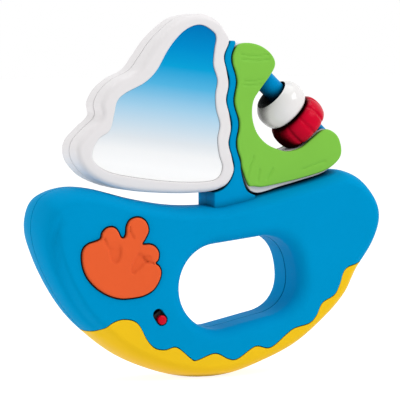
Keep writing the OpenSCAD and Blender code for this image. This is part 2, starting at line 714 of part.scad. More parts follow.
// Ring with a rounded outside and rounded bore edges, standing on z = 0
module bead(d, length) {
    body_r = ring_bore / 2 + ring_lip;
    turn = [for (k = [0 : 4 * steps]) let (a = 180 * k / (4 * steps) - 90)
        [body_r + (d / 2 - body_r) * cos(a), length / 2 + length / 2 * sin(a)]];
    hole = [[ring_bore / 2, length - ring_lip], [ring_bore / 2, ring_lip]];
    rotate_extrude() polygon(concat(turn, hole));
}
module white_ring() {
    color("White") along_rod(white_ring_from) translate([ring_hang, 0, 0]) bead(white_ring_d, white_ring_len);
}
module red_ring() {
    color("Crimson") along_rod(red_ring_from) translate([ring_hang, 0, 0]) difference() {
        bead(red_ring_d, red_ring_len);
        for (k = [0 : red_flutes - 1]) rotate([0, 0, 360 * k / red_flutes])
            translate([red_ring_d / 2 + flute_d / 2 - flute_sink, 0, -over])
                cylinder(d = flute_d, h = red_ring_len + 2 * over);
    }
}
module push_button() {
    post_front = button_front - wall - over;
    color("OrangeRed") {
        difference() {
            union() {
                plate(button_outline, flange_back, button_front);
                grown_plate(button_outline, flange_w, flange_back, flange_front);
            }
            grown_plate(button_outline, -wall, flange_back - over, button_front - wall - over);
        }
        peg(button_at, post_d, post_back, post_front + over);
        for (p = scaled(spring_shares, button_size, button_at))
            peg(p, spring_d + wall, flange_front, post_front + over);
    }
}
module button_springs() {
    color("Silver") for (p = scaled(spring_shares, button_size, button_at)) difference() {
        peg(p, spring_d, bracket_front, flange_front);
        peg(p, spring_d - 2 * spring_wire, bracket_front - over, flange_front + over);
    }
}
module button_bracket() {
    color("Gainsboro") difference() {
        union() {
            plate([for (s = bracket_post_shares) at(s)], bracket_front - bracket_t, bracket_front);
            for (s = bracket_post_shares)
                peg(at(s), bracket_post_d + 2 * over, bracket_front - bracket_t, bracket_front);
            for (s = standoff_shares) peg(at(s), standoff_d, board_front, bracket_front - bracket_t + fit);
        }
        peg(button_at, bracket_hole_d, board_front, bracket_front + over);
        for (s = bracket_post_shares) peg(at(s), shank_hole_d, 0, bracket_front + over);
        for (s = standoff_shares) peg(at(s), bore_d, board_front - over, bracket_front + over);
    }
}
module bracket_screws() {
    color("Silver") for (s = bracket_post_shares)
        screw_into(at(s), bracket_front - bracket_t - head_t, inner - 2 * wall);
}
module circuit_board() {
    x = [for (s = board_shares[0]) s * hull_len];
    z = [for (s = board_shares[1]) s * hull_h];
    color("DarkGreen") difference() {
        box(x, z, board_front - board_t, board_front);
        for (s = standoff_shares) peg(at(s), shank_hole_d, 0, board_front + over);
    }
}
module board_screws() {
    color("Silver") for (s = standoff_shares)
        screw_into(at(s), board_front - board_t - head_t, bracket_front - bracket_t);
}
module tact_switch() {
    side = tact_w / 2;
    color("Black") {
        box([button_at[0] - side, button_at[0] + side], [button_at[1] - side, button_at[1] + side],
            board_front, board_front + tact_t);
        peg(button_at, stem_d, board_front + tact_t - fit, board_front + tact_t + stem_t);
    }
}
module sound_chip() {
    color("Black") peg(at(chip_share), chip_d, board_front - board_t - chip_t, board_front - board_t);
}
// Frame of the power switch: its own x runs across the slot and its own z along it
module at_switch() {
    translate([slot_at[0], 0, slot_at[1]]) rotate([0, -slot_turn, 0]) children();
}
module slot_shape(w, length, back, front) {
    run = (length - w) / 2;
    for (e = [-1, 1]) peg([0, e * run], w, back, front);
    box([-w / 2, w / 2], [-run, run], back, front);
}
module switch_posts() {
    at_switch() for (e = [-1, 1]) peg([0, e * switch_ear], switch_post_d, switch_front, inner + bond);
}
module switch_knob() {
    plate_front = inner - room;
    color("Red") at_switch() translate([0, 0, -knob_travel / 2]) {
        peg([0, 0], knob_d, plate_front - fit, half + knob_proud);
        box([-knob_plate_w / 2, knob_plate_w / 2], [-knob_plate_len / 2, knob_plate_len / 2],
            plate_front - knob_plate_t, plate_front);
        box([-knob_stem_w / 2, knob_stem_w / 2], [-knob_stem_w / 2, knob_stem_w / 2],
            switch_front - switch_t / 2, plate_front - knob_plate_t + fit);
    }
}
module switch_body() {
    slot_half = knob_stem_w / 2 + room;
    run = knob_travel / 2 + slot_half;
    color("Black") at_switch() difference() {
        box([-switch_w / 2, switch_w / 2], [-switch_len / 2, switch_len / 2],
            switch_front - switch_t, switch_front);
        box([-slot_half, slot_half], [-run, run], switch_front - switch_t + over, switch_front + over);
        for (e = [-1, 1]) peg([0, e * switch_ear], switch_shank_d + fit, 0, half);
    }
}
module switch_screws() {
    color("Silver") at_switch() for (e = [-1, 1]) {
        peg([0, e * switch_ear], switch_head_d, switch_front - switch_t - switch_head_t,
            switch_front - switch_t);
        peg([0, e * switch_ear], switch_bore_d, switch_front - switch_t - fit, inner - fit);
    }
}
// Speaker parts stand on the inside of the rear wall and reach forward
module speaker_frame() {
    color("DimGray") rotate([90, 0, 0]) translate([speaker_at[0], speaker_at[1], -inner]) difference() {
        union() {
            cylinder(d = speaker_d, h = speaker_rim_t);
            cylinder(d1 = speaker_d, d2 = basket_d, h = speaker_depth);
        }
        translate([0, 0, -fit])
            cylinder(d1 = speaker_d - 2 * wall, d2 = basket_d - 2 * wall, h = speaker_depth);
    }
}
module speaker_cone() {
    top_d = speaker_d - 2 * wall - 2 * fit;
    color("Black") rotate([90, 0, 0]) translate([speaker_at[0], speaker_at[1], -inner]) difference() {
        cylinder(d1 = top_d, d2 = magnet_d / 2, h = speaker_depth - wall);
        translate([0, 0, -fit])
            cylinder(d1 = top_d - 2 * cone_t, d2 = magnet_d / 2 - 2 * cone_t,
                h = speaker_depth - wall - cone_t);
    }
}
module speaker_magnet() {
    color("Silver") peg(speaker_at, magnet_d, -inner + speaker_depth, -inner + speaker_depth + magnet_t);
}
function clamp_screw_places() = [for (e = [-1, 1]) speaker_at + [0, e * clamp_reach]];
module speaker_clamp() {
    back = -inner + speaker_rim_t;
    color("Gainsboro") difference() {
        union() {
            peg(speaker_at, speaker_d + wall, back, back + clamp_t);
            for (p = clamp_screw_places()) peg(p, bracket_post_d + over, back, back + clamp_t);
        }
        rotate([90, 0, 0]) translate([speaker_at[0], speaker_at[1], -inner - fit])
            cylinder(d1 = speaker_d + fit, d2 = basket_d + fit, h = speaker_depth + fit);
        peg(speaker_at, speaker_d - wall, back - over, back + clamp_t + over);
        for (p = clamp_screw_places()) peg(p, shank_hole_d, back - over, back + clamp_t + over);
    }
}
module speaker_screws() {
    color("Silver") for (p = clamp_screw_places()) {
        top = -inner + speaker_rim_t + clamp_t;
        peg(p, head_d, top, top + head_t);
        peg(p, bore_d, -inner + fit, top + fit);
    }
}
module speaker_grille() {
    peg(speaker_at, grille_hole_d, -half - over, -inner + over);
    for (ring = [1 : grille_rings]) for (k = [0 : 6 * ring - 1]) let (a = 60 * k / ring)
        peg(speaker_at + ring * grille_pitch * [cos(a), sin(a)], grille_hole_d, -half - over, -inner + over);
}
// Battery box with its mouth at the rear wall
module battery_box() {
    x = [box_at[0] - box_w / 2, box_at[0] + box_w / 2];
    z = [box_at[1] - box_h / 2, box_at[1] + box_h / 2];
    color("DeepSkyBlue") difference() {
        box(x, z, -inner, -inner + box_depth + box_wall);
        box(x + [box_wall, -box_wall], z + [box_wall, -box_wall], -inner - over, -inner + box_depth);
    }
}
function cell_rows() = [for (e = [-1, 1]) box_at[1] + e * (cell_d + cell_gap) / 2];
module battery_cells() {
    color("DarkSlateGray") for (z = cell_rows())
        translate([box_at[0] - cell_len / 2, cell_mid, z]) rotate([0, 90, 0])
            cylinder(d = cell_d, h = cell_len);
}
module battery_contacts() {
    end_x = cell_len / 2 + contact_t / 2 + fit;
    color("Silver") for (e = [-1, 1]) for (z = cell_rows()) {
        x = box_at[0] + e * end_x;
        box([x - contact_t / 2, x + contact_t / 2], [z - contact_w / 2, z + contact_w / 2],
            -cell_mid - contact_w / 2, -inner + box_depth);
    }
}
function door_at() = box_at + [0, door_shift];
function door_screw_at() = box_at + [0, box_h / 2 + door_screw_rise];
module door_shape(grow, back, front) {
    w = door_w / 2 - door_round;
    h = door_h / 2 - door_round;
    d = 2 * (door_round + grow);
    for (i = [-1, 1]) for (j = [-1, 1]) peg(door_at() + [i * w, j * h], d, back, front);
    p = door_at();
    box([p[0] - w, p[0] + w], [p[1] - h - d / 2, p[1] + h + d / 2], back, front);
    box([p[0] - w - d / 2, p[0] + w + d / 2], [p[1] - h, p[1] + h], back, front);
}
module battery_opening() {
    x = [box_at[0] - box_w / 2, box_at[0] + box_w / 2];
    z = [box_at[1] - box_h / 2, box_at[1] + box_h / 2];
    door_shape(fit, -half - over, door_back);
    box(x + [box_wall, -box_wall], z + [box_wall, -box_wall], -half, -inner + over);
}
module battery_door() {
    color("DeepSkyBlue") difference() {
        union() {
            door_shape(0, -half, door_back);
            peg(door_screw_at(), door_boss_d, -half, door_boss_front);
        }
        peg(door_screw_at(), shank_hole_d, -half - over, 0);
        peg(door_screw_at(), head_hole_d, -half - over, -half + head_t + fit);
    }
}
module door_screw() {
    color("Silver") screw_into(door_screw_at(), -half + fit, -inner + recess - over);
}

hull_front_shell();
hull_rear_shell();
keel();
ballast_bar();
ballast_screws();
hull_screws();
keel_screws();
mast();
mast_screws();
main_sail_front_frame();
main_sail_rear_frame();
main_sail_front_panel();
main_sail_rear_panel();
main_sail_screws();
jib_front_frame();
jib_rear_frame();
jib_front_cover();
jib_rear_cover();
jib_screws();
jib_foot_screw();
bead_rod();
white_ring();
red_ring();
push_button();
button_springs();
button_bracket();
bracket_screws();
circuit_board();
board_screws();
tact_switch();
sound_chip();
switch_knob();
switch_body();
switch_screws();
speaker_frame();
speaker_cone();
speaker_magnet();
speaker_clamp();
speaker_screws();
battery_box();
battery_cells();
battery_contacts();
battery_door();
door_screw();
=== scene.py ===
import json
import math

import bmesh
import bpy
import numpy as np
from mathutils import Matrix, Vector
from mathutils.geometry import delaunay_2d_cdt


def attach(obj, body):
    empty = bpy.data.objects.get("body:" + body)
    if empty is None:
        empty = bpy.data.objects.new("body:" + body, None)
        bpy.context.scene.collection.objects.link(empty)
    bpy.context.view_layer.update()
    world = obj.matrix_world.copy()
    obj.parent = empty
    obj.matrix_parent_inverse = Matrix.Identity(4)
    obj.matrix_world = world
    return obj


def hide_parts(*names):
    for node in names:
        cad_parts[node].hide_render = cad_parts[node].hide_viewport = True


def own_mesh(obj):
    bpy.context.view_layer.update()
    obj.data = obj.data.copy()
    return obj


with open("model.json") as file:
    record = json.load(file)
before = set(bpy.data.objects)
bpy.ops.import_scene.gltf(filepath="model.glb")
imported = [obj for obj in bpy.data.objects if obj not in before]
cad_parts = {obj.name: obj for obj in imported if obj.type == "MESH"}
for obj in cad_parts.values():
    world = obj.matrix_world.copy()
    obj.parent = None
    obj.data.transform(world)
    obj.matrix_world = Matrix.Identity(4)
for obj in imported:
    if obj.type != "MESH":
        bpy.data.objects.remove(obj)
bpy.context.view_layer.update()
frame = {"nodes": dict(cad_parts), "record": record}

# Smooth visual pieces for the rocking boat toy. Shapes are worked out in millimetres: outlines lie in
# the X-Z plane, and a depth runs forward (-Y) from the plane where the two halves part.
MM = 0.001

# Main sizes, after the part's source, with a few fitted more closely to the photo
HULL = np.array([260.0, 140.0])
HALF = 24.0
EDGE = 10.0
WALL = 2.5
INNER = HALF - WALL
SEAM = 0.35
MAST_W, MAST_HALF = 5.2, 13.0
MAST_LEAN, MAST_SWAY, MAST_PITCH = 0.064, 1.45, 29.5
MAST_HEAD_RUN, MAST_HEAD_LEAN = 14.0, 2.2
SAIL = np.array([110.0, 122.0])
SAIL_HALF = 14.0
SAIL_FOOT = 0.907 * HULL[1]
SAIL_GAP = 0.8
JIB_HALF = 11.0
FRAME_DROP, REAR_DROP = 4.0, 2.2
ROD_D, ROD_LEN, ROD_SEAT, ROD_SLOPE = 14.8, 52.0, 9.0, math.radians(42.7)
RING_BORE, RING_HANG = 22.5, 3.5
BUTTON = np.array([58.0, 54.0])
BUTTON_FRONT = HALF + 1.6
KNOB_D, KNOB_TRAVEL = 6.3, 4.7
SLOT_LEN, SLOT_W, SLOT_TURN = 12.4, 8.0, math.radians(35)
HEAD_D, HEAD_T, HEAD_HOLE, RECESS = 6.0, 2.2, 6.6, 8.0
HEAD_SINK, SHANK_R, SHANK_IN = 0.15, 1.2, 5.0
HOLE_LIP = 0.4
# Half the gap where two halves meet, and how far in the edge beside it starts and ends
PART_GAP, PART_EASE, PART_SIDE = 0.1, 0.45, 0.03

# Outlines and places as shares of the hull. Those of the sail, its panel and bosses are shares of the sail,
# and those of the button and its springs are shares of the button.
HULL_SHARES = [
    (-0.05, 0), (0.05, 0), (0.146, 0.046), (0.254, 0.129), (0.348, 0.257), (0.408, 0.371), (0.444, 0.491),
    (0.493, 0.62), (0.517, 0.743), (0.507, 0.85), (0.462, 0.954), (0.41, 0.998), (0.363, 0.99),
    (0.288, 0.952), (0.21, 0.918), (0.145, 0.888), (0.075, 0.86), (0.01, 0.843), (-0.096, 0.849),
    (-0.21, 0.886), (-0.331, 0.943), (-0.404, 0.946), (-0.463, 0.896), (-0.486, 0.791), (-0.48, 0.671),
    (-0.452, 0.536), (-0.404, 0.385), (-0.347, 0.265), (-0.251, 0.128), (-0.148, 0.043)]
WAVE_SHARES = [
    (-0.43, 0.212), (-0.372, 0.238), (-0.33, 0.262), (-0.296, 0.304), (-0.262, 0.317), (-0.226, 0.294),
    (-0.199, 0.211), (-0.176, 0.169), (-0.147, 0.158), (-0.114, 0.167), (-0.074, 0.11), (-0.057, 0.097),
    (-0.003, 0.126), (0.037, 0.095), (0.063, 0.092), (0.106, 0.14), (0.125, 0.149), (0.163, 0.139),
    (0.212, 0.203), (0.235, 0.228), (0.279, 0.248), (0.301, 0.286), (0.318, 0.345), (0.355, 0.383),
    (0.371, 0.432), (0.387, 0.506), (0.422, 0.533), (0.5, 0.565)]
MAST_AT, MAST_TOP = (0.0703, 1.3), 1.637
MAST_CREST, MAST_HEAD = 1.245, 1.54
FOOT_RIGHT = [
    (0.139, 0.887), (0.127, 0.895), (0.114, 0.911), (0.105, 0.944), (0.0985, 0.987), (0.0943, 1.03)]
FOOT_LEFT = [
    (0.0738, 1.03), (0.073, 1.003), (0.0675, 0.976), (0.058, 0.949), (0.0445, 0.925), (0.028, 0.912),
    (0.0165, 0.907)]
TENON = [(0.0165, 0.82), (-0.024, 0.82), (-0.024, 0.8), (0.139, 0.8)]
SAIL_SHARES = [
    (0.104, 0.914), (0.063, 0.962), (0.0, 0.993), (-0.07, 1.0), (-0.2, 0.967), (-0.34, 0.865),
    (-0.428, 0.763), (-0.497, 0.689), (-0.61, 0.64), (-0.688, 0.583), (-0.732, 0.51), (-0.728, 0.437),
    (-0.806, 0.372), (-0.878, 0.305), (-0.893, 0.235), (-0.858, 0.165), (-0.765, 0.092), (-0.6, 0.037),
    (-0.376, 0.01), (-0.1, 0.001), (0.09, 0.024)]
PANEL_SHARES = [
    (0.049, 0.868), (0.026, 0.905), (-0.05, 0.94), (-0.13, 0.928), (-0.205, 0.882), (-0.283, 0.8),
    (-0.358, 0.69), (-0.44, 0.622), (-0.57, 0.565), (-0.625, 0.52), (-0.645, 0.45), (-0.675, 0.362),
    (-0.75, 0.315), (-0.79, 0.245), (-0.775, 0.185), (-0.67, 0.13), (-0.46, 0.092), (-0.2, 0.066),
    (0.03, 0.07)]
# Each point of the jib's foot also says how far the frames, and the rear frame more, hang below the covers
JIB_FOOT = [
    (0.117, 0.94, 0.2, 0.0), (0.133, 0.932, 1.0, 0.3), (0.16, 0.928, 1, 0.4), (0.217, 0.944, 0.6, 0.7),
    (0.278, 0.966, 0.43, 0.75), (0.349, 1.001, 0.35, 0.6)]
JIB_SHARES = [
    (0.388, 1.05), (0.398, 1.1), (0.387, 1.168), (0.361, 1.203), (0.337, 1.2), (0.308, 1.164), (0.276, 1.12),
    (0.238, 1.101), (0.203, 1.113), (0.168, 1.144), (0.141, 1.199), (0.128, 1.274), (0.131, 1.35),
    (0.15, 1.406), (0.184, 1.485), (0.196, 1.535), (0.184, 1.583), (0.154, 1.622), (0.118, 1.638),
    (0.087, 1.629)]
BUTTON_SHARES = [
    (0, -0.5), (0.15, -0.497), (0.28, -0.475), (0.4, -0.41), (0.475, -0.3), (0.5, -0.2), (0.478, -0.128),
    (0.428, -0.078), (0.465, -0.03), (0.468, 0.06), (0.42, 0.13), (0.355, 0.158), (0.262, 0.165), (0.3, 0.24),
    (0.339, 0.33), (0.315, 0.43), (0.255, 0.487), (0.18, 0.5), (0.105, 0.468), (0.065, 0.395), (0.058, 0.31),
    (0.04, 0.262), (0.012, 0.248), (-0.016, 0.268), (-0.042, 0.325), (-0.075, 0.372), (-0.125, 0.393),
    (-0.19, 0.38), (-0.242, 0.328), (-0.264, 0.252), (-0.335, 0.218), (-0.415, 0.194), (-0.478, 0.14),
    (-0.5, 0.05), (-0.487, -0.08), (-0.442, -0.2), (-0.37, -0.3), (-0.27, -0.39), (-0.14, -0.463)]
HULL_SCREWS = [(-0.428, 0.75), (-0.125, 0.735), (0.362, 0.52), (0.46, 0.705), (-0.32, 0.383)]
MAST_SCREWS = [(0.012, 0.757), (0.078, 0.775)]
JIB_FOOT_SCREW = (0.258, 0.815)
JIB_BLOCK_X, JIB_BLOCK_Z, JIB_BLOCK_HALF = (0.225, 0.292), (0.78, 0.955), 5.0
KEEL_TABS = [(-0.253, 0.317)]
LUG_HEIGHTS = [1.12, 1.43]
SAIL_BOSSES = [(-0.836, 0.24), (-0.312, 0.835), (-0.35, 0.044)]
SPRINGS = [(-0.22, -0.22), (0.24, -0.22), (-0.12, 0.2), (0.2, 0.3)]


def at(share):
    """Place of a share of the hull."""
    return np.array(share[:2]) * HULL


def ramp(v, start, end):
    """0 at start, 1 at end and straight in between."""
    return np.clip((v - start) / (end - start), 0, 1)


def smooth(t):
    """The share t, eased at both ends."""
    return t * t * (3 - 2 * t)


def blend(a, b, c, d, t):
    """Smooth curve from b to c, with a before and d after them."""
    return (2 * b + (c - a) * t + (2 * a - 5 * b + 4 * c - d) * t**2 + (3 * b - a - 3 * c + d) * t**3) / 2


def line(points, n=16):
    """Open smooth line through the points."""
    p = np.asarray(points, float)
    t = np.arange(n)[:, None] / n
    m = len(p) - 1
    rows = [blend(p[max(i - 1, 0)], p[i], p[i + 1], p[min(i + 2, m)], t) for i in range(m)]
    return np.vstack([*rows, p[-1:]])


def even(points, step):
    """The closed outline with its points at an even distance."""
    p = np.vstack([points, points[:1]])
    s = np.concatenate([[0], np.cumsum(np.linalg.norm(np.diff(p, axis=0), axis=1))])
    n = max(12, round(s[-1] / step))
    t = np.arange(n) * s[-1] / n
    return np.stack([np.interp(t, s, p[:, 0]), np.interp(t, s, p[:, 1])], 1)


def loop(points, step=1.5):
    """Closed smooth outline through the points, evenly spaced."""
    p = np.asarray(points, float)
    m = len(p)
    t = np.arange(16)[:, None] / 16
    rows = [blend(p[i - 1], p[i], p[(i + 1) % m], p[(i + 2) % m], t) for i in range(m)]
    return even(np.vstack(rows), step)


def outward(points):
    """Unit normals of the closed outline."""
    t = np.roll(points, -1, 0) - np.roll(points, 1, 0)
    return np.stack([t[:, 1], -t[:, 0]], 1) / np.linalg.norm(t, axis=1, keepdims=True)


def inset(points, d):
    """The outline moved inwards by d, one number or one for each point. Where a tight corner would make the
    moved line cross itself, the points in between lie on a straight line."""
    d = np.broadcast_to(np.asarray(d, float), (len(points),))
    moved = points - d[:, None] * outward(points)
    far = np.linalg.norm(moved[:, None] - points[None], axis=2).min(1)
    good = np.flatnonzero(far > 0.97 * np.abs(d) - 1e-6)
    i = np.arange(len(points))
    return np.stack([np.interp(i, good, moved[good, k], period=len(points)) for k in (0, 1)], 1)


def circle(centre, r, n=32):
    a = np.arange(n) * 2 * math.pi / n
    return np.asarray(centre) + r * np.stack([np.cos(a), np.sin(a)], 1)


def stadium(centre, radii, straight, tilt, n=40, square=1.0):
    """Closed round-ended slot, its long side tilted up by tilt, with the radii of its right and left end.
    The right end is squarer where square is under 1."""
    a = np.linspace(-math.pi / 2, math.pi / 2, n)
    ends = []
    for r, power, turn in ((radii[0], square, 1), (radii[1], 1.0, -1)):
        x, z = np.abs(np.cos(a)) ** power, np.sign(a) * np.abs(np.sin(a)) ** power
        ends.append(turn * np.stack([straight / 2 + r * x, r * z], 1))
    right, left = ends
    part = np.linspace(0, 1, n // 2)[1:-1, None]
    upper, lower = right[-1] + part * (left[0] - right[-1]), left[-1] + part * (right[0] - left[-1])
    p = np.vstack([right, upper, left, lower])
    c, s = math.cos(tilt), math.sin(tilt)
    return np.asarray(centre) + p @ np.array([[c, s], [-s, c]])


def inside(points, polygon, ends=None):
    """Which points lie inside the polygon, or among the edges from polygon to ends, by counting crossings."""
    ends = np.roll(polygon, -1, 0) if ends is None else ends
    x, y = points[:, 0][:, None], points[:, 1][:, None]
    ax, ay = polygon[:, 0], polygon[:, 1]
    bx, by = ends[:, 0], ends[:, 1]
    cross = (ay > y) != (by > y)
    with np.errstate(divide="ignore", invalid="ignore"):
        where = ax + (y - ay) * (bx - ax) / (by - ay)
    return (cross & (x < where)).sum(1) % 2 == 1


def mast_x(z):
    """Middle line of the wavy mast, which leans to the stern and bends back to the bow at its head."""
    x, middle = at(MAST_AT)
    head = ramp(z, MAST_HEAD * HULL[1], MAST_HEAD * HULL[1] + MAST_HEAD_RUN)
    sway = MAST_SWAY * np.cos(2 * math.pi * (z - MAST_CREST * HULL[1]) / MAST_PITCH)
    return x - MAST_LEAN * (z - middle) + MAST_HEAD_LEAN * head**2 + sway


def beside_mast(z, shift):
    """Points at the heights z, at a distance beside the mast's middle line."""
    z = np.asarray(z, float)
    return np.stack([mast_x(z) + shift, z], 1)


class Shape:
    """Vertices and faces of one piece, in millimetres."""

    def __init__(self):
        self.v, self.f = [], []

    def ring(self, points, depth):
        """Adds one loop of vertices at a depth, or at one for each point."""
        start = len(self.v)
        depth = np.broadcast_to(np.asarray(depth, float), (len(points),))
        self.v += [(x, -d, z) for (x, z), d in zip(points, depth)]
        return list(range(start, len(self.v)))

    def rings(self, stack):
        """Rings of one outline joined by quads; returns the first and the last."""
        loops = [self.ring(p, d) for p, d in stack]
        for a, b in zip(loops, loops[1:]):
            n = len(a)
            self.f += [(a[i], a[(i + 1) % n], b[(i + 1) % n], b[i]) for i in range(n)]
        return loops[0], loops[-1]

    def fill(self, outer, holes=(), depth=0.0, spacing=0.0, height=None, flip=False):
        """Flat face between loops, with an inner grid of points where spacing is set."""
        loops = [outer, *holes]
        ids = [i for l in loops for i in l]
        flat = np.array([(self.v[i][0], self.v[i][2]) for i in ids])
        edges, polygons, start = [], [], 0
        for l in loops:
            n = len(l)
            edges += [(start + i, start + (i + 1) % n) for i in range(n)]
            polygons.append(flat[start:start + n])
            start += n
        if spacing:
            low, high = flat.min(0), flat.max(0)
            rows = np.arange(low[1], high[1], spacing * 0.866)
            grid = [(x + (k % 2) * spacing / 2, z) for k, z in enumerate(rows)
                    for x in np.arange(low[0], high[0], spacing)]
            grid = np.array(grid)
            keep = inside(grid, polygons[0])
            for p in polygons[1:]:
                keep &= ~inside(grid, p)
            grid = grid[keep]
            near = np.concatenate([
                np.linalg.norm(part[:, None] - flat[None], axis=2).min(1)
                for part in np.array_split(grid, max(1, len(grid) // 500))])
            grid = grid[near > spacing * 0.6]
            rise = height(grid) if height else np.zeros(len(grid))
            start = len(self.v)
            self.v += [(x, -(depth + h), z) for (x, z), h in zip(grid, rise)]
            ids += range(start, len(self.v))
            flat = np.vstack([flat, grid])
        made = delaunay_2d_cdt([Vector(p) for p in flat], edges, [], 0, 1e-6)
        points, faces, origin = made[0], made[2], made[3]
        index = []
        for p, o in zip(points, origin):
            if o:
                index.append(ids[o[0]])
            else:
                self.v.append((p[0], -depth, p[1]))
                index.append(len(self.v) - 1)
        where = np.array([(p[0], p[1]) for p in points])
        mid = np.array([where[list(f)].mean(0) for f in faces])
        keep = inside(mid, polygons[0])
        for p in polygons[1:]:
            keep &= ~inside(mid, p)
        for f, k in zip(faces, keep):
            if k:
                corners = [index[i] for i in f]
                self.f.append(tuple(reversed(corners)) if flip else tuple(corners))

    def join(self, other, flip=False, mirror=False):
        """Adds another shape, turned inside out or mirrored to the rear."""
        start = len(self.v)
        self.v += [(x, -y, z) for x, y, z in other.v] if mirror else other.v
        for f in other.f:
            g = tuple(i + start for i in f)
            self.f.append(tuple(reversed(g)) if flip != mirror else g)
        return self


ARC = [math.radians(a) for a in (0, 15, 30, 45, 60, 75, 90)]


def edge_stack(outline, front, r, height=None):
    """Rounded front edge of an outline, from its side to its face."""
    stack = []
    for a in ARC:
        p = inset(outline, r * (1 - math.cos(a)))
        rise = height(p) * math.sin(a) if height else 0
        stack.append((p, front - r * (1 - math.sin(a)) + rise))
    return stack


def lip_stack(points, front, r, floor):
    """Rounded edge of a hole in a face, and its wall down to the floor."""
    stack = [(inset(points, -r * (1 - math.cos(a))), front - r * (1 - math.sin(a))) for a in reversed(ARC)]
    return [*stack, (points, floor)]


def plate(outline, back, front, r, holes=(), spacing=0.0, height=None, groove=0.5):
    """Closed plate with a rounded front edge, a small groove at its back edge and holes. A hole is an
    outline, a lip radius, the depth of its floor, and an inner outline if it goes on to the back."""
    s = Shape()
    rear = back + PART_GAP
    first, last = s.rings([(inset(outline, groove), rear), (outline, rear + groove / 2),
                           *edge_stack(outline, front, r, height)])
    faces, backs = [], []
    for points, lip, floor, through in holes:
        stack = lip_stack(points, front, lip, floor)
        if through is not None:
            stack += [(through, floor), (through, rear)]
        a, b = s.rings(stack)
        faces.append(a)
        if through is None:
            s.fill(b)
        else:
            backs.append(b)
    s.fill(last, faces, front, spacing, height)
    s.fill(first, backs, flip=True)
    return s


def lathe(profile, origin, axis, n=64, closed=True, radius=None):
    """Turned solid: profile points (radius, length) about an axis through origin. A closed profile is a ring;
    an open one starts and ends on the axis."""
    s = Shape()
    axis = np.asarray(axis, float) / np.linalg.norm(axis)
    side = np.cross(axis, [0, 1, 0] if abs(axis[1]) < 0.9 else [1, 0, 0])
    side /= np.linalg.norm(side)
    other = np.cross(axis, side)
    rows = []
    for r, t in profile:
        if r < 1e-6:
            s.v.append(tuple(origin + axis * t))
            rows.append([len(s.v) - 1] * n)
            continue
        row = []
        for k in range(n):
            a = 2 * math.pi * k / n
            q = radius(r, t, a) if radius else r
            s.v.append(tuple(origin + axis * t + q * (side * math.cos(a) + other * math.sin(a))))
            row.append(len(s.v) - 1)
        rows.append(row)
    pairs = list(zip(rows, rows[1:] + rows[:1])) if closed else list(zip(rows, rows[1:]))
    for a, b in pairs:
        for k in range(n):
            j = (k + 1) % n
            f = [a[k], a[j], b[j], b[k]]
            s.f.append(tuple(dict.fromkeys(f)))
    return s


def tube(path, r, n=10):
    """Round wire along a path of 3-D points."""
    s = Shape()
    path = np.asarray(path, float)
    tangent = np.gradient(path, axis=0)
    tangent /= np.linalg.norm(tangent, axis=1, keepdims=True)
    rows = []
    for p, t in zip(path, tangent):
        u = np.cross(t, [0, 1, 0])
        u /= np.linalg.norm(u)
        w = np.cross(t, u)
        row = []
        for k in range(n):
            a = 2 * math.pi * k / n
            s.v.append(tuple(p + r * (u * math.cos(a) + w * math.sin(a))))
            row.append(len(s.v) - 1)
        rows.append(row)
    for a, b in zip(rows, rows[1:]):
        s.f += [(a[k], a[(k + 1) % n], b[(k + 1) % n], b[k]) for k in range(n)]
    s.f += [tuple(reversed(rows[0])), tuple(rows[-1])]
    return s


def piece(shape, name, material, body, replaces=(), mirror=False, sharp=35, edit=None):
    """The shape as a Blender object that rides on a body."""
    bm = bmesh.new()
    verts = [bm.verts.new((x, -y if mirror else y, z)) for x, y, z in shape.v]
    for f in shape.f:
        if len(set(f)) > 2:
            try:
                bm.faces.new([verts[i] for i in f])
            except ValueError:
                pass
    bmesh.ops.remove_doubles(bm, verts=bm.verts, dist=1e-4)
    if edit:
        edit(bm)
    loose = [v for v in bm.verts if not v.link_faces]
    bmesh.ops.delete(bm, geom=loose, context="VERTS")
    bmesh.ops.recalc_face_normals(bm, faces=bm.faces)
    bmesh.ops.scale(bm, vec=(MM, MM, MM), verts=bm.verts)
    mesh = bpy.data.meshes.new(name)
    bm.to_mesh(mesh)
    bm.free()
    mesh.shade_smooth()
    mesh.set_sharp_from_angle(angle=math.radians(sharp))
    mesh.materials.append(material)
    obj = bpy.data.objects.new(name, mesh)
    bpy.context.scene.collection.objects.link(obj)
    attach(obj, body)
    if replaces:
        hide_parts(*replaces)
    return obj


# Materials
DRIFT_SCALE, GLOSS_DRIFT, GRAIN_DEPTH = 22, 0.06, 0.0003
# Convex edges are made lighter: partly rubbed edges, partly a painted highlight on rounded rims.
WEAR_GLINT_FROM, WEAR_GLINT_TO, WEAR_GLINT_LIGHT = 0.52, 0.62, 0.35


def srgb(*c):
    """Linear colour of an sRGB one, which is given in steps of 255."""
    return tuple(((v / 255) / 12.92 if v <= 10 else ((v / 255 + 0.055) / 1.055) ** 2.4) for v in c) + (1.0,)


def shade(colour, k):
    """The colour, k times as bright."""
    return tuple(min(1.0, v * k) for v in colour[:3]) + (1.0,)


def feed(tree, n, inputs):
    """Gives each input of a node a value or another node's output."""
    for key, value in inputs.items():
        if isinstance(value, bpy.types.NodeSocket):
            tree.links.new(value, n.inputs[key])
        else:
            n.inputs[key].default_value = value


def node(tree, kind, inputs=None, **settings):
    """New shader node with its settings and inputs."""
    n = tree.nodes.new(kind)
    for key, value in settings.items():
        setattr(n, key, value)
    feed(tree, n, inputs or {})
    return n


def mixed(tree, factor, a, b, blend="MIX"):
    """Mix of two colours."""
    inputs = {"Factor": factor, 6: a, 7: b}
    return node(tree, "ShaderNodeMix", inputs, data_type="RGBA", blend_type=blend).outputs[2]


def mapped(tree, value, start, end, low=0.0, high=1.0):
    """The value's way from start to end, as one from low to high."""
    inputs = {"Value": value, "From Min": start, "From Max": end, "To Min": low, "To Max": high}
    return node(tree, "ShaderNodeMapRange", inputs).outputs["Result"]


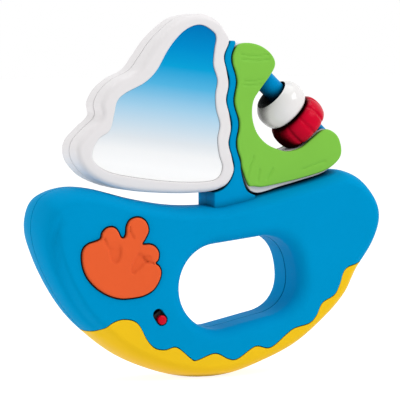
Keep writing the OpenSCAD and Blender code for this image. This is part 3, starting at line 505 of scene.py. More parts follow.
def finish(name, colour, rough=0.38, vary=0.05, bump=0.06, metal=0.0, grain=900.0, wear_glint=0.25,
           specular=0.3, tint=(1, 1, 1, 1), crevice_shade=0.25, reach=0.01, spread=(0.1, 0.75), fade=None):
    """Moulded plastic or metal: slow colour drift, lighter edges, partly rubbed and partly a painted
    highlight, painted shade that darkens the colour and cuts the gloss in crevices and near other parts,
    uneven gloss and a fine grain."""
    mat = bpy.data.materials.new(name)
    mat.use_nodes = True
    t = mat.node_tree
    where = node(t, "ShaderNodeTexCoord").outputs["Object"]
    drift = node(t, "ShaderNodeTexNoise", {"Scale": DRIFT_SCALE, "Detail": 3, "Vector": where}).outputs["Fac"]
    dull, light = shade(colour, 1 - vary), shade(colour, 1 + vary)
    if fade:
        light = fade(t, where)
        dull = node(t, "ShaderNodeHueSaturation", {"Value": 1 - vary, "Color": light}).outputs["Color"]
    # Lighter convex edges, partly rubbing and partly a painted highlight.
    point = node(t, "ShaderNodeNewGeometry").outputs["Pointiness"]
    edges = mapped(t, point, WEAR_GLINT_FROM, WEAR_GLINT_TO, high=wear_glint)
    worn_and_lit = mixed(t, edges, mixed(t, drift, dull, light), shade(colour, WEAR_GLINT_LIGHT), "SCREEN")
    # Painted shade: where other surfaces lie within reach, the colour is multiplied down to the crevice shade
    # and the specular level is cut to match.
    near = node(t, "ShaderNodeAmbientOcclusion", {"Distance": reach}, samples=8).outputs["AO"]
    clear = mapped(t, near, *spread)
    painted_shade = mixed(t, 1.0, worn_and_lit, (crevice_shade, crevice_shade, crevice_shade, 1), "MULTIPLY")
    shaded_specular = node(t, "ShaderNodeMath", {0: clear, 1: specular}, operation="MULTIPLY").outputs["Value"]
    gloss = mapped(t, drift, 0.0, 1.0, rough - GLOSS_DRIFT, rough + GLOSS_DRIFT)
    fine = node(t, "ShaderNodeTexNoise", {"Scale": grain, "Detail": 2, "Vector": where}).outputs["Fac"]
    lumps = node(t, "ShaderNodeBump", {"Strength": bump, "Distance": GRAIN_DEPTH, "Height": fine})
    feed(t, t.nodes["Principled BSDF"], {
        "Base Color": mixed(t, clear, painted_shade, worn_and_lit), "Metallic": metal, "Roughness": gloss,
        "Specular IOR Level": shaded_specular, "Specular Tint": tint, "Normal": lumps.outputs["Normal"]})
    return mat


# The panel's fade, a painted reflection in place of the sail's mirror: its slant, the heights in metres where
# it ends, and its colours from foot to head
FADE_SLANT, FADE_FOOT, FADE_HEAD = 0.13, 0.140, 0.242
FADE_STOPS = [
    (0.0, (255, 255, 255)), (0.1, (246, 247, 248)), (0.18, (227, 233, 238)), (0.4, (164, 209, 235)),
    (0.56, (84, 181, 226)), (0.69, (8, 160, 215)), (0.83, (0, 140, 204)), (1.0, (0, 116, 184))]


def mirror_reflection_fade(t, where):
    """Painted reflection of the sail panel's mirror, a fade blue at the head to white at the foot, slightly
    aslant.
    """
    split = node(t, "ShaderNodeSeparateXYZ", {"Vector": where}).outputs
    slant = node(t, "ShaderNodeMath", {0: split["X"], 1: FADE_SLANT, 2: split["Z"]}, operation="MULTIPLY_ADD")
    span = mapped(t, slant.outputs["Value"], FADE_FOOT, FADE_HEAD)
    colours = node(t, "ShaderNodeValToRGB", {"Fac": span})
    elements = colours.color_ramp.elements
    while len(elements) < len(FADE_STOPS):
        elements.new(0.5)
    for e, (place, colour) in zip(elements, FADE_STOPS):
        e.position = place
        e.color = srgb(*colour)
    return colours.outputs["Color"]


sea = srgb(30, 180, 255)
# Painted shade: the darkening near other parts draws the stern hollow, the gaps beside the mast and button,
# the deck under the sail, the keel's seam and the frames' parting lines darker.
blue = finish("blue_plastic", srgb(0, 147, 203), rough=0.45, specular=0.01, tint=sea, crevice_shade=0.06,
              reach=0.006, spread=(0.1, 1.0))
yellow = finish("yellow_plastic", srgb(242, 196, 32), rough=0.42, specular=0.06, tint=srgb(255, 220, 90),
                crevice_shade=0.5, reach=0.004)
white = finish("white_plastic", srgb(230, 227, 228), rough=0.34, vary=0.02, wear_glint=0.1, specular=0.2,
               crevice_shade=0.06, reach=0.004, spread=(0.1, 0.65))
green = finish("green_plastic", srgb(128, 195, 72), rough=0.46, specular=0.15, tint=srgb(190, 240, 150),
               crevice_shade=0.12)
# On the button the lighter edge is mostly a painted highlight along its rounded rim.
orange = finish("orange_plastic", srgb(233, 96, 50), rough=0.48, wear_glint=0.8, specular=0.1,
                tint=srgb(255, 170, 130), crevice_shade=0.04, reach=0.005, spread=(0.1, 0.95))
# Painted shade: the rod and both rings darken over a long reach, so the rod goes dark near the rings, the
# white ring's bore goes nearly black and the red ring's lower side darkens.
rod_blue = finish("rod_plastic", srgb(0, 148, 214), rough=0.25, wear_glint=0.1, specular=0.06, tint=sea, crevice_shade=0.02,
              reach=0.03, spread=(0.3, 0.95))
pearl = finish("white_ring_plastic", srgb(230, 228, 227), rough=0.14, vary=0.02, wear_glint=0.1, specular=0.5,
               crevice_shade=0.01, reach=0.016, spread=(0.45, 0.85))
red = finish("red_ring_plastic", srgb(206, 8, 44), rough=0.18, wear_glint=0.15, specular=0.12,
             tint=srgb(255, 120, 140), crevice_shade=0.03, reach=0.045, spread=(0.4, 0.98))
knob_red = finish("knob_plastic", srgb(205, 14, 38), rough=0.3, specular=0.2, tint=srgb(255, 130, 140))
# The panel's colour is a painted reflection; its crevice shade also paints shade along the edge of its
# recess.
panel = finish("panel_painted_reflection", srgb(120, 190, 228), rough=0.16, vary=0.02, bump=0.02, wear_glint=0.0, specular=0.05,
               tint=srgb(150, 210, 255), crevice_shade=0.6, reach=0.003, fade=mirror_reflection_fade)
# Black for the black parts, and on the knob's slider as painted shade.
black_and_slot_shade = finish("black_plastic", srgb(24, 24, 26), rough=0.5)
inner = finish("inner_plastic", srgb(214, 214, 210), rough=0.5)
board = finish("board_mask", srgb(20, 92, 48), rough=0.4, vary=0.15)
steel = finish("screw_steel", srgb(196, 198, 202), rough=0.32, metal=1.0, grain=2400.0)
bar = finish("bar_steel", srgb(120, 122, 126), rough=0.5, metal=1.0, vary=0.15)
spring = finish("spring_steel", srgb(200, 200, 198), rough=0.25, metal=1.0)
basket = finish("speaker_steel", srgb(150, 152, 155), rough=0.35, metal=1.0)
paper = finish("speaker_paper", srgb(40, 40, 42), rough=0.7, bump=0.2)
jacket = finish("cell_jacket", srgb(60, 64, 70), rough=0.35, metal=0.6)
by_slot = {
    "blue_shell": blue, "yellow_keel": yellow, "white_frame": white, "panel": panel, "green_cover": green,
    "rod": rod_blue, "white_ring": pearl, "red_ring": red, "orange_button": orange, "red_knob": knob_red,
    "inner_plastic": inner, "black_plastic": black_and_slot_shade, "board": board, "steel_bar": bar, "screw_steel": steel,
    "spring_steel": spring, "speaker_steel": basket, "speaker_paper": paper, "cell_jacket": jacket}
for row in frame["record"]["subparts"]:
    cad = frame["nodes"][row["node"]]
    cad.data.materials.clear()
    cad.data.materials.append(by_slot[row["material_slot"]])

# Hull and keel
hull = loop(np.array(HULL_SHARES) * HULL, 1.8)
wave = line(np.array(WAVE_SHARES) * HULL)
window_at = at((0.0824, 0.467))
button_at = at((-0.2715, 0.612))
slot_at = at((-0.1615, 0.318))
speaker_at = at((0.378, 0.74))
box_at = at((-0.277, 0.63))
DOOR_UP, DOOR_SCREW_UP, DOOR_GAP = 4.0, 19.7, 0.25
door_at = box_at + [0, DOOR_UP]
door_screw_at = box_at + [0, DOOR_SCREW_UP]
DOOR_W, DOOR_H, DOOR_ROUND, DOOR_BACK = 56.5, 42.2, 4.0, INNER + 0.75
WINDOW_RADII, WINDOW_SQUARE, WINDOW_LIP = (28.0, 29.5), 0.85, 9.5
WINDOW_RUN, WINDOW_TILT = 33.7, math.radians(9)
SKIN_STEP, LINING_STEP, KEEL_REAR_STEP, KEEL_LINING_STEP = 2.4, 4.5, 3.0, 9.0
BOSS_WALL, BOSS_FLOOR, POCKET_WALL = 0.6, 1.5, 1.0
# A hollow runs inside the rounded side, full at the stern. It deepens slowly from the edge and ends steeply.
STERN_FROM, STERN_FULL = -40, -90
CREASE_LOW, CREASE_HIGH = (22, 44), (122, 96)
CREASE_HEIGHTS, CREASE_INSETS = (47, 60, 90, 112), (3.6, 4.8, 7.2, 10.0)
CREASE_SINK, CREASE_OUT, CREASE_IN, CREASE_START = 4.0, 5.0, 2.3, 4.0
FLAT_RINGS = [10.8, 11.8, 13, 14.4]
crease = smooth(ramp(hull[:, 0], STERN_FROM, STERN_FULL))
crease *= ramp(hull[:, 1], *CREASE_LOW) * ramp(hull[:, 1], *CREASE_HIGH)
crease_at = np.interp(hull[:, 1], CREASE_HEIGHTS, CREASE_INSETS)
# The rear is rounded less above, where the battery door and the screws lie close to the edge
REAR_EASE, REAR_FROM, REAR_FULL = 2.6, 85, 100
rear_edge = EDGE - REAR_EASE * smooth(ramp(hull[:, 1], REAR_FROM, REAR_FULL))


def hollow(d):
    """Depth of the hollow at a distance inside the hull's outline."""
    gap = d - crease_at
    fall = np.exp(-(gap / np.where(gap < 0, CREASE_OUT, CREASE_IN)) ** 2)
    return CREASE_SINK * crease * fall * ramp(d, 0, CREASE_START)


def window(grow):
    """Outline of the grip window, grown by a distance."""
    return stadium(window_at, [r + grow for r in WINDOW_RADII], WINDOW_RUN, WINDOW_TILT, square=WINDOW_SQUARE)


def rounded_box(centre, w, h, r):
    """Upright box with round corners."""
    p = [circle(np.asarray(centre) + [i * (w / 2 - r), j * (h / 2 - r)], r, 32) for i, j in
         ((1, 1), (-1, 1), (-1, -1), (1, -1))]
    return np.vstack([p[k][8 * k:8 * k + 9] if k < 3 else np.vstack([p[3][24:], p[3][:1]]) for k in range(4)])


button = loop(np.array(BUTTON_SHARES) * BUTTON + button_at, 0.9)
slot = stadium(slot_at, (SLOT_W / 2, SLOT_W / 2), SLOT_LEN - SLOT_W, math.pi / 2 + SLOT_TURN, 14)


def sheet(margin, start, creased, holes, spacing, edge=EDGE):
    """One skin of half the hull: the rounded side from its start rings, then the flat face with its holes.
    A hole is a stack of rings from the face inwards and whether its end is closed."""
    s = Shape()
    face = HALF - margin
    stack = []
    for k in range(1, 19):
        a = math.radians(5 * k)
        stack.append((margin + (edge - margin) * (1 - math.cos(a)), face * math.sin(a)))
    if creased:
        stack += [(EDGE + (d - EDGE) * (0.1 + 0.9 * crease), face) for d in FLAT_RINGS]
    stack = [*start, *((inset(hull, d), y - creased * hollow(d)) for d, y in stack)]
    _, last = s.rings(stack)
    faces = []
    for rings, closed in holes:
        a, b = s.rings(rings)
        faces.append(a)
        if closed:
            s.fill(b)
    s.fill(last, faces, face, spacing)
    return s


def cup(place, r, floor):
    """Blind round recess in the outer skin, and the boss that it makes in the inner skin."""
    boss = circle(place, r + BOSS_WALL)
    recess = lip_stack(circle(place, r), HALF, HOLE_LIP, floor)
    return (recess, True), ([(boss, INNER), (boss, floor - BOSS_FLOOR)], True)


def through(points, lip):
    """Hole through both skins."""
    return (lip_stack(points, HALF, lip, INNER), False), ([(points, INNER)], False)


def half_shell(creased, extra, edge=EDGE):
    """Closed hollow half of the hull with the window tube and the given holes, before the keel is cut off."""
    def lip(grow, r, face):
        turns = [math.radians(9 * k) for k in range(10, -1, -1)]
        return [(window(grow + r * (1 - math.cos(a))), face - r * (1 - math.sin(a))) for a in turns]

    outer_window = [*lip(0, WINDOW_LIP, HALF), (window(0), PART_GAP + PART_EASE),
                    (window(2 * PART_EASE), PART_GAP), (window(WALL), PART_GAP)]
    inner_window = [*lip(WALL, WINDOW_LIP - WALL, INNER), (window(WALL), PART_GAP)]
    outer = [(outer_window, False)] + [h[0] for h in extra]
    within = [(inner_window, False)] + [h[1] for h in extra]
    parting = [(inset(hull, WALL), PART_GAP), (inset(hull, PART_EASE), PART_GAP),
               (inset(hull, PART_SIDE), PART_GAP + PART_EASE)]
    shell = sheet(0, parting, creased, outer, SKIN_STEP, edge)
    lining = sheet(WALL, parting[:1], creased, within, LINING_STEP, edge)
    return shell.join(lining, flip=True)


def cap(bm, level):
    """Close a level cut with triangles between its open edges."""
    rim = [e for e in bm.edges if e.is_boundary and all(abs(v.co.z - level) < 0.001 for v in e.verts)]
    verts = list(dict.fromkeys(v for e in rim for v in e.verts))
    place = {v: i for i, v in enumerate(verts)}
    flat = np.array([(v.co.x, v.co.y) for v in verts])
    edges = [(place[e.verts[0]], place[e.verts[1]]) for e in rim]
    made = delaunay_2d_cdt([Vector(p) for p in flat], edges, [], 0, 1e-7)
    points, faces, origin = made[0], made[2], made[3]
    corner = [verts[o[0]] if o else bm.verts.new((p[0], p[1], level)) for p, o in zip(points, origin)]
    mid = np.array([np.mean([points[i] for i in f], axis=0) for f in faces])
    a, b = np.array(edges).T
    for f, keep in zip(faces, inside(mid, flat[a], flat[b])):
        if keep:
            bm.faces.new([corner[i] for i in f])


def cut_at_wave(side):
    """Edit that keeps what is above (1) or below (-1) the keel's wavy line and closes the cut."""
    def edit(bm):
        for v in bm.verts:
            v.co.z -= np.interp(v.co.x, wave[:, 0], wave[:, 1])
        bmesh.ops.bisect_plane(
            bm, geom=[*bm.verts, *bm.edges, *bm.faces], dist=1e-5, plane_co=(0, 0, side * SEAM),
            plane_no=(0, 0, 1), clear_inner=side > 0, clear_outer=side < 0)
        cap(bm, side * SEAM)
        for v in bm.verts:
            v.co.z = max(0.0, v.co.z + np.interp(v.co.x, wave[:, 0], wave[:, 1]))
    return edit


BUTTON_GAP, BUTTON_LIP, SLOT_LIP = 0.9, 0.3, 0.5
GRILLE_PITCH, GRILLE_HOLE, GRILLE_RINGS = 4.4, 1.3, (1, 2, 3)
front_holes = [through(inset(button, -BUTTON_GAP), BUTTON_LIP), through(slot, SLOT_LIP)]
piece(half_shell(True, front_holes), "hull_front", blue, "boat", ["hull_front_shell"],
      edit=cut_at_wave(1))
grille = [speaker_at]
for ring in GRILLE_RINGS:
    grille += list(circle(speaker_at, ring * GRILLE_PITCH, 6 * ring))
rear_holes = [through(circle(p, GRILLE_HOLE, 12), BUTTON_LIP) for p in grille]
rear_holes += [cup(at(s), HEAD_HOLE / 2, HALF - RECESS) for s in [*HULL_SCREWS, *MAST_SCREWS, JIB_FOOT_SCREW]]
pocket = rounded_box(door_at, DOOR_W + 2 * DOOR_GAP, DOOR_H + 2 * DOOR_GAP, DOOR_ROUND)
pocket_wall = inset(pocket, -POCKET_WALL)
rear_holes.append(((lip_stack(pocket, HALF, HOLE_LIP, DOOR_BACK - PART_GAP), True),
                   ([(pocket_wall, INNER), (pocket_wall, INNER - BOSS_FLOOR)], True)))
piece(half_shell(False, rear_holes, rear_edge), "hull_rear", blue, "boat", ["hull_rear_shell"],
      mirror=True, edit=cut_at_wave(1))

KEEL_SCREW_DOWN, KEEL_HOLE = 5.0, 6.4
keel_screws_at = [at(s) - [0, KEEL_SCREW_DOWN] for s in KEEL_TABS]
keel_holes = [cup(p, KEEL_HOLE / 2, HALF - HEAD_T - HEAD_SINK) for p in keel_screws_at]
keel = sheet(0, [(hull, 0.0)], True, [], SKIN_STEP)
keel.join(sheet(0, [(hull, 0.0)], False, [h[0] for h in keel_holes], KEEL_REAR_STEP), mirror=True)
middle = [(inset(hull, WALL), 0.0)]
lining = sheet(WALL, middle, True, [], KEEL_LINING_STEP)
lining.join(sheet(WALL, middle, False, [h[1] for h in keel_holes], KEEL_LINING_STEP), mirror=True)
keel.join(lining, flip=True)
piece(keel, "keel_body", yellow, "boat", ["keel"], edit=cut_at_wave(-1))

# Battery door
door = plate(rounded_box(door_at, DOOR_W, DOOR_H, DOOR_ROUND), DOOR_BACK, HALF, 0.5,
             [(circle(door_screw_at, HEAD_HOLE / 2), HOLE_LIP, DOOR_BACK + 2 * PART_GAP, None)], groove=0.1)
piece(door, "door_panel", blue, "boat", ["battery_door"], mirror=True)


# Screws with a cross recess, heads towards the rear
CROSS_ARM_SHARE, CROSS_W_SHARE, CROSS_DEPTH = 0.62, 0.17, 0.9
# Rounded head: shares of its radius, each with its depth below the top
HEAD_ROUND = [(1.0, 0.5), (0.94, 0.15), (0.8, 0.0)]


def screw(place, head_back, tip):
    """One screw whose head's top is head_back behind the middle and whose tip is tip before it."""
    s = Shape()
    r = HEAD_D / 2
    arm, w = r * CROSS_ARM_SHARE, r * CROSS_W_SHARE
    cross = np.array([(w, -arm), (w, -w), (arm, -w), (arm, w), (w, w), (w, arm), (-w, arm), (-w, w),
                      (-arm, w), (-arm, -w), (-w, -w), (-w, -arm)]) + place
    low = head_back - HEAD_T
    profile = [(SHANK_R, -tip), (SHANK_R, low), (r, low), *((r * k, head_back - t) for k, t in HEAD_ROUND)]
    first, last = s.rings([(circle(place, q, 24), t) for q, t in profile])
    a, b = s.rings([(cross, head_back), (cross, head_back - CROSS_DEPTH)])
    s.fill(b)
    s.fill(last, [a], head_back)
    s.fill(first, flip=True)
    return s


def screws(places, name, head_back, tip, cad):
    """One piece with a screw at each place."""
    s = Shape()
    for p in places:
        s.join(screw(p, head_back, tip))
    piece(s, name, steel, "boat", [cad], mirror=True)


deep = HALF - RECESS + HEAD_T
screws([at(s) for s in HULL_SCREWS], "hull_fixings", deep, INNER - SHANK_IN, "hull_screws")
screws([at(s) for s in MAST_SCREWS], "mast_fixings", deep, INNER - SHANK_IN, "mast_screws")
screws([at(JIB_FOOT_SCREW)], "jib_foot_fixing", deep, INNER - SHANK_IN, "jib_foot_screw")
KEEL_TIP, DOOR_TIP, SAIL_TIP = -12.0, -14.5, 9.0
screws(keel_screws_at, "keel_fixings", HALF - HEAD_SINK, KEEL_TIP, "keel_screws")
screws([door_screw_at], "door_fixing", HALF - HEAD_SINK, DOOR_TIP, "door_screw")

# Mast
rise = np.linspace(FOOT_RIGHT[-1][1] * HULL[1], MAST_TOP * HULL[1], 90)
tip = MAST_W / 3
top = rise[-1]
mast = np.vstack([
    np.array(TENON) * HULL, line(np.array(FOOT_RIGHT) * HULL)[:-1], beside_mast(rise, MAST_W / 2),
    [(mast_x(top) + tip, top + tip), (mast_x(top) - tip, top + tip)], beside_mast(rise[::-1], -MAST_W / 2),
    line(np.array(FOOT_LEFT) * HULL)[1:]])
mast = even(mast, 1.1)
half_mast = plate(mast, 0, MAST_HALF, 0.9, groove=0.0)
full_mast = Shape().join(half_mast).join(half_mast, mirror=True)
piece(full_mast, "mast_strip", blue, "boat", ["mast"])

# Main sail
PANEL_SIDE, PANEL_BACK, PANEL_FRONT, PANEL_LAP, PANEL_GAP = 12.0, 2.1, 1.0, 3.0, 0.06
MAST_ROUND, SAIL_ROUND, REAR_ROUND, OPENING_LIP = 1.2, 2.6, 1.8, 0.9
LUG_IN, SAIL_HEAD_SINK, SAIL_BORE = 5.2, 2.5, 4.7
sail_heights, panel_heights = 0.11 + 0.082 * np.arange(10), 0.135 + 0.083 * np.arange(9)
sail_side = beside_mast(SAIL_FOOT + sail_heights * SAIL[1], -MAST_W / 2 - SAIL_GAP)
sail = loop(np.vstack([sail_side, np.array(SAIL_SHARES) * SAIL + [0, SAIL_FOOT]]), 1.4)
panel_side = beside_mast(SAIL_FOOT + panel_heights * SAIL[1], -PANEL_SIDE)
fade = loop(np.vstack([panel_side, np.array(PANEL_SHARES) * SAIL + [0, SAIL_FOOT]]), 1.2)
# The sail's outer edge is well rounded, less so beside the mast
from_mast = (mast_x(sail[:, 1]) - MAST_W / 2 - SAIL_GAP) - sail[:, 0]
sail_round = MAST_ROUND + SAIL_ROUND * ramp(from_mast, 1, 7)
opening = (inset(fade, -PANEL_GAP), OPENING_LIP, SAIL_HALF - PANEL_BACK, inset(fade, PANEL_LAP))
front_shape = plate(sail, 0, SAIL_HALF, sail_round, [opening], spacing=3.0, groove=0.9)
rear_shape = plate(sail, 0, SAIL_HALF, np.minimum(sail_round, REAR_ROUND), [opening], spacing=3.0, groove=0.9)
piece(front_shape, "sail_frame_front", white, "boat", ["main_sail_front_frame"])
rear_frame = piece(rear_shape, "sail_frame_rear", white, "boat", ["main_sail_rear_frame"],
                   mirror=True)
panel_shape = plate(fade, SAIL_HALF - PANEL_BACK, SAIL_HALF - PANEL_FRONT, 0.3, spacing=4.0, groove=0.1)
piece(panel_shape, "sail_panel_front", panel, "boat", ["main_sail_front_panel"])
piece(panel_shape, "sail_panel_rear", panel, "boat", ["main_sail_rear_panel"], mirror=True)
sail_screws_at = [beside_mast([k * HULL[1]], -MAST_W / 2 - LUG_IN)[0] for k in LUG_HEIGHTS]
sail_screws_at += [np.array(s) * SAIL + [0, SAIL_FOOT] for s in SAIL_BOSSES]
screws(sail_screws_at, "sail_fixings", SAIL_HALF - SAIL_HEAD_SINK, SAIL_TIP, "main_sail_screws")


def drilled(obj, places, r, back, front):
    """Round holes cut into the rear of a piece."""
    s = Shape()
    for p in places:
        a, b = s.rings([(circle(p, r), back), (circle(p, r), front)])
        s.fill(b)
        s.fill(a, flip=True)
    mesh = bpy.data.meshes.new("drill")
    mesh.from_pydata([(x * MM, -y * MM, z * MM) for x, y, z in s.v], [], [tuple(reversed(f)) for f in s.f])
    tool = bpy.data.objects.new("drill", mesh)
    bpy.context.scene.collection.objects.link(tool)
    cut = obj.modifiers.new("holes", "BOOLEAN")
    cut.operation, cut.object, cut.solver = "DIFFERENCE", tool, "EXACT"
    bpy.context.view_layer.update()
    done = bpy.data.meshes.new_from_object(obj.evaluated_get(bpy.context.evaluated_depsgraph_get()))
    obj.modifiers.clear()
    obj.data = done
    done.set_sharp_from_angle(angle=math.radians(35))
    bpy.data.objects.remove(tool)


drilled(rear_frame, sail_screws_at, HEAD_HOLE / 2, SAIL_HALF - SAIL_BORE, SAIL_HALF + 2)

# Jib
JIB_EDGE_TOP, JIB_EDGE_STEP, JIB_EDGE_COUNT = 1.587, 0.047, 13


def jib_outline(drop, more, step=1.3):
    """Outline of the jib, its foot lower by shares of drop and more."""
    foot = [at(s) - [0, s[2] * drop + s[3] * more] for s in JIB_FOOT]
    heights = JIB_EDGE_TOP - JIB_EDGE_STEP * np.arange(JIB_EDGE_COUNT)
    edge = beside_mast(heights * HULL[1], MAST_W / 2 + SAIL_GAP)
    return loop(np.vstack([foot, np.array(JIB_SHARES) * HULL, edge]), step)


def foot_block():
    """Block that carries the jib in the hull."""
    (x0, x1), (z0, z1) = JIB_BLOCK_X, JIB_BLOCK_Z
    corners = np.array([(x0, z0), (x1, z0), (x1, z1), (x0, z1)]) * HULL
    return plate(corners, 0, JIB_BLOCK_HALF, 0.4, groove=0.0)


for name, cad, more, mirror in (("jib_frame_front", "jib_front_frame", 0.0, False),
                                ("jib_frame_rear", "jib_rear_frame", REAR_DROP, True)):
    shape = plate(jib_outline(FRAME_DROP, more), 0, JIB_HALF, 0.8, groove=0.8).join(foot_block())
    piece(shape, name, white, "boat", [cad], mirror=mirror)


def stroke(points, path, w):
    """Share of a groove's depth at each point: 1 on the path and 0 beyond its width."""
    path = np.asarray(path, float)
    best = np.full(len(points), 1e9)
    for a, b in zip(path, path[1:]):
        t = np.clip(((points - a) @ (b - a)) / ((b - a) @ (b - a)), 0, 1)
        best = np.minimum(best, np.linalg.norm(points - (a + t[:, None] * (b - a)), axis=1))
    return smooth(ramp(best, w, 0))


STROKE_DEPTH, STROKE_W = 0.7, 1.3
COVER_STROKES = [
    [(24, 221.5), (30, 220.6), (38, 220.4), (45, 221.2)], [(24, 218.2), (31, 217.4), (39, 217.2), (46, 218)],
    [(26, 203.5), (31, 203), (36, 203.2), (41, 204.5)], [(26, 200.4), (31, 200), (36, 200.2), (40, 201.2)],
    [(29, 137), (31, 144), (34, 151)], [(37, 134), (38.5, 142)], [(44, 135), (49, 142)],
    [(72, 141), (80, 143.5), (90, 146.5)]]


def cover_height(p):
    """Shallow strokes pressed into the covers."""
    return -STROKE_DEPTH * np.max([stroke(p, s, STROKE_W) for s in COVER_STROKES], axis=0)


cover = plate(jib_outline(0, 0), JIB_HALF, SAIL_HALF, 1.3, spacing=1.0, height=cover_height, groove=0.15)
piece(cover, "jib_cover_front", green, "boat", ["jib_front_cover"])
piece(cover, "jib_cover_rear", green, "boat", ["jib_rear_cover"], mirror=True)

# Bead rod and rings
along = np.array([math.cos(ROD_SLOPE), 0, -math.sin(ROD_SLOPE)])
across = np.array([-math.sin(ROD_SLOPE), 0, -math.cos(ROD_SLOPE)])
ROD_SHARE, ROD_EASE = (0.185, 1.457), 0.6
rod_at = np.array([ROD_SHARE[0] * HULL[0], 0, ROD_SHARE[1] * HULL[1]])
r = ROD_D / 2
far = ROD_LEN + ROD_SEAT
rod = lathe([(0, -ROD_SEAT), (r - ROD_EASE, -ROD_SEAT), (r, ROD_EASE - ROD_SEAT), (r, ROD_LEN / 2),
             (r, far - ROD_EASE), (r - ROD_EASE, far), (0, far)], rod_at, along, 64, closed=False)
piece(rod, "rod_bar", rod_blue, "boat", ["bead_rod"])


def ring_profile(d, length, lip, squares, mouth=False):
    """Barrel section: a full outside, squarer where its two halves' squares are low, and rounded bore edges,
    or a bore that widens straight to a thin edge at the upper end."""
    bore = RING_BORE / 2
    base = bore + lip
    a = np.linspace(-math.pi / 2, math.pi / 2, 33)
    out = [(base + (d / 2 - base) * abs(math.cos(t)) ** squares[int(t > 0)],
            length / 2 * (1 + math.copysign(abs(math.sin(t)) ** 0.9, t))) for t in a]
    turns = np.linspace(0.3, 1.57, 6)
    hole = [(bore + lip * (1 - math.sin(t)), length - lip * (1 - math.cos(t))) for t in turns]
    back = [(q, length - t) for q, t in reversed(hole)]
    if mouth:
        back = [(bore, length / 2), (base - 0.3, 0.0)]
    return [*out, *hole, *back]


WHITE_D, WHITE_LEN, WHITE_FROM = 36.0, 18.6, 12.4
RED_D, RED_LEN, RED_FROM = 39.5, 17.0, 32.4
hang = rod_at + across * RING_HANG
profile = ring_profile(WHITE_D, WHITE_LEN, 1.6, (2.0, 0.7), mouth=True)
ring = lathe(profile, hang + along * WHITE_FROM, along, 96)
piece(ring, "white_bead_ring", pearl, "white_bead", ["white_ring"], sharp=60)

FLUTES, FLUTE_SINK, FLUTE_FROM = 10, 0.8, math.radians(27.3)


def fluted(r, t, a):
    """Narrow grooves along the ring, fading out towards its bore."""
    bulge = ramp(r - RING_BORE / 2, 1.5, 5.5)
    return r - FLUTE_SINK * bulge * (0.5 + 0.5 * math.cos(FLUTES * (a - FLUTE_FROM))) ** 8


profile = ring_profile(RED_D, RED_LEN, 1.25, (0.5, 0.5))
ring = lathe(profile, hang + along * RED_FROM, along, 240, radius=fluted)
piece(ring, "red_bead_ring", red, "red_bead", ["red_ring"], sharp=60)

# Push button with pressed-in folds, and its springs
BUTTON_WALL, FLANGE, FLANGE_BACK, FLANGE_FRONT, BUTTON_ROOF = 2.5, 2.0, 18.75, 21.15, 21.3
STEM_R, STEM_EASE, STEM_BACK, STEM_FRONT = 4.0, 0.4, 13.65, 22.5
SPRING_R, SPRING_TURNS, SPRING_BACK, SPRING_LEN, WIRE_R = 2.5, 5.5, 12.5, 8.15, 0.4
FOLDED_DEPTH, FOLDED_EDGE, FOLD_DEPTH, FOLD_W = 1.2, 1.5, 0.8, 1.6
FOLDED = [
    [(-10.6, 11), (-10.2, 6), (-9.4, 1), (-7.8, -2.4), (-5.2, -3.8), (-2.2, -2.2), (-0.4, 2), (-0.2, 6),
     (-1, 11)],
    [(20, 2), (15.2, 1.6), (11.5, 2.6), (8.1, -1.3), (5.9, -6.3), (6.2, -10), (8.5, -11.3), (12.7, -8.5),
     (17.3, -4.8), (23, -4.4)]]
FOLDS = [[(-13.5, 15.3), (-11.9, 10.8), (-10, 7.5)], [(5.2, 21.4), (5.9, 17.6), (8.1, 13.8)],
         [(11.5, 2.6), (15.2, 1.2), (18.4, -2.9), (25, -4.2)]]


def button_height(p):
    """Two folded fingers are pressed into the palm, with creases where they begin."""
    q = p - button_at
    sink = np.zeros(len(q))
    for s in FOLDED:
        edge = line(s, 6)
        away = np.min([np.linalg.norm(q - e, axis=1) for e in edge], axis=0)
        sink = np.maximum(sink, smooth(ramp(np.where(inside(q, edge), away, 0), 0, FOLDED_EDGE)))
    fade_out = ramp(q[:, 1], 11, 6) * ramp(q[:, 0], 23, 18)
    creases = np.max([stroke(q, line(s, 6), FOLD_W) for s in FOLDS], axis=0)
    return -FOLDED_DEPTH * sink * fade_out - FOLD_DEPTH * creases


body = Shape()
first, last = body.rings([
    (inset(button, BUTTON_WALL), FLANGE_BACK), (inset(button, -FLANGE), FLANGE_BACK),
    (inset(button, -FLANGE), FLANGE_FRONT), (button, FLANGE_FRONT), *edge_stack(button, BUTTON_FRONT, 1.5)])
body.fill(last, [], BUTTON_FRONT, 0.9, button_height)
_, roof = body.rings([(inset(button, BUTTON_WALL), FLANGE_BACK), (inset(button, BUTTON_WALL), BUTTON_ROOF)])
body.fill(roof, flip=True)
stem = [(0, STEM_BACK), (STEM_R - STEM_EASE, STEM_BACK), (STEM_R, STEM_BACK + STEM_EASE),
        (STEM_R, STEM_FRONT), (0, STEM_FRONT)]
body.join(lathe(stem, np.array([button_at[0], 0, button_at[1]]), (0, -1, 0), 32, closed=False))
piece(body, "button_cap", orange, "button", ["push_button"], sharp=50)
coils = Shape()
for s in SPRINGS:
    c = np.array(s) * BUTTON + button_at
    t = np.linspace(0, 1, 150)
    turn = 2 * math.pi * SPRING_TURNS * t
    depth = SPRING_BACK + SPRING_LEN * t
    path = [c[0] + SPRING_R * np.cos(turn), -depth, c[1] + SPRING_R * np.sin(turn)]
    coils.join(tube(np.stack(path, 1), WIRE_R))
coil = piece(coils, "button_coils", spring, "boat", ["button_springs"], sharp=80)
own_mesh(coil)

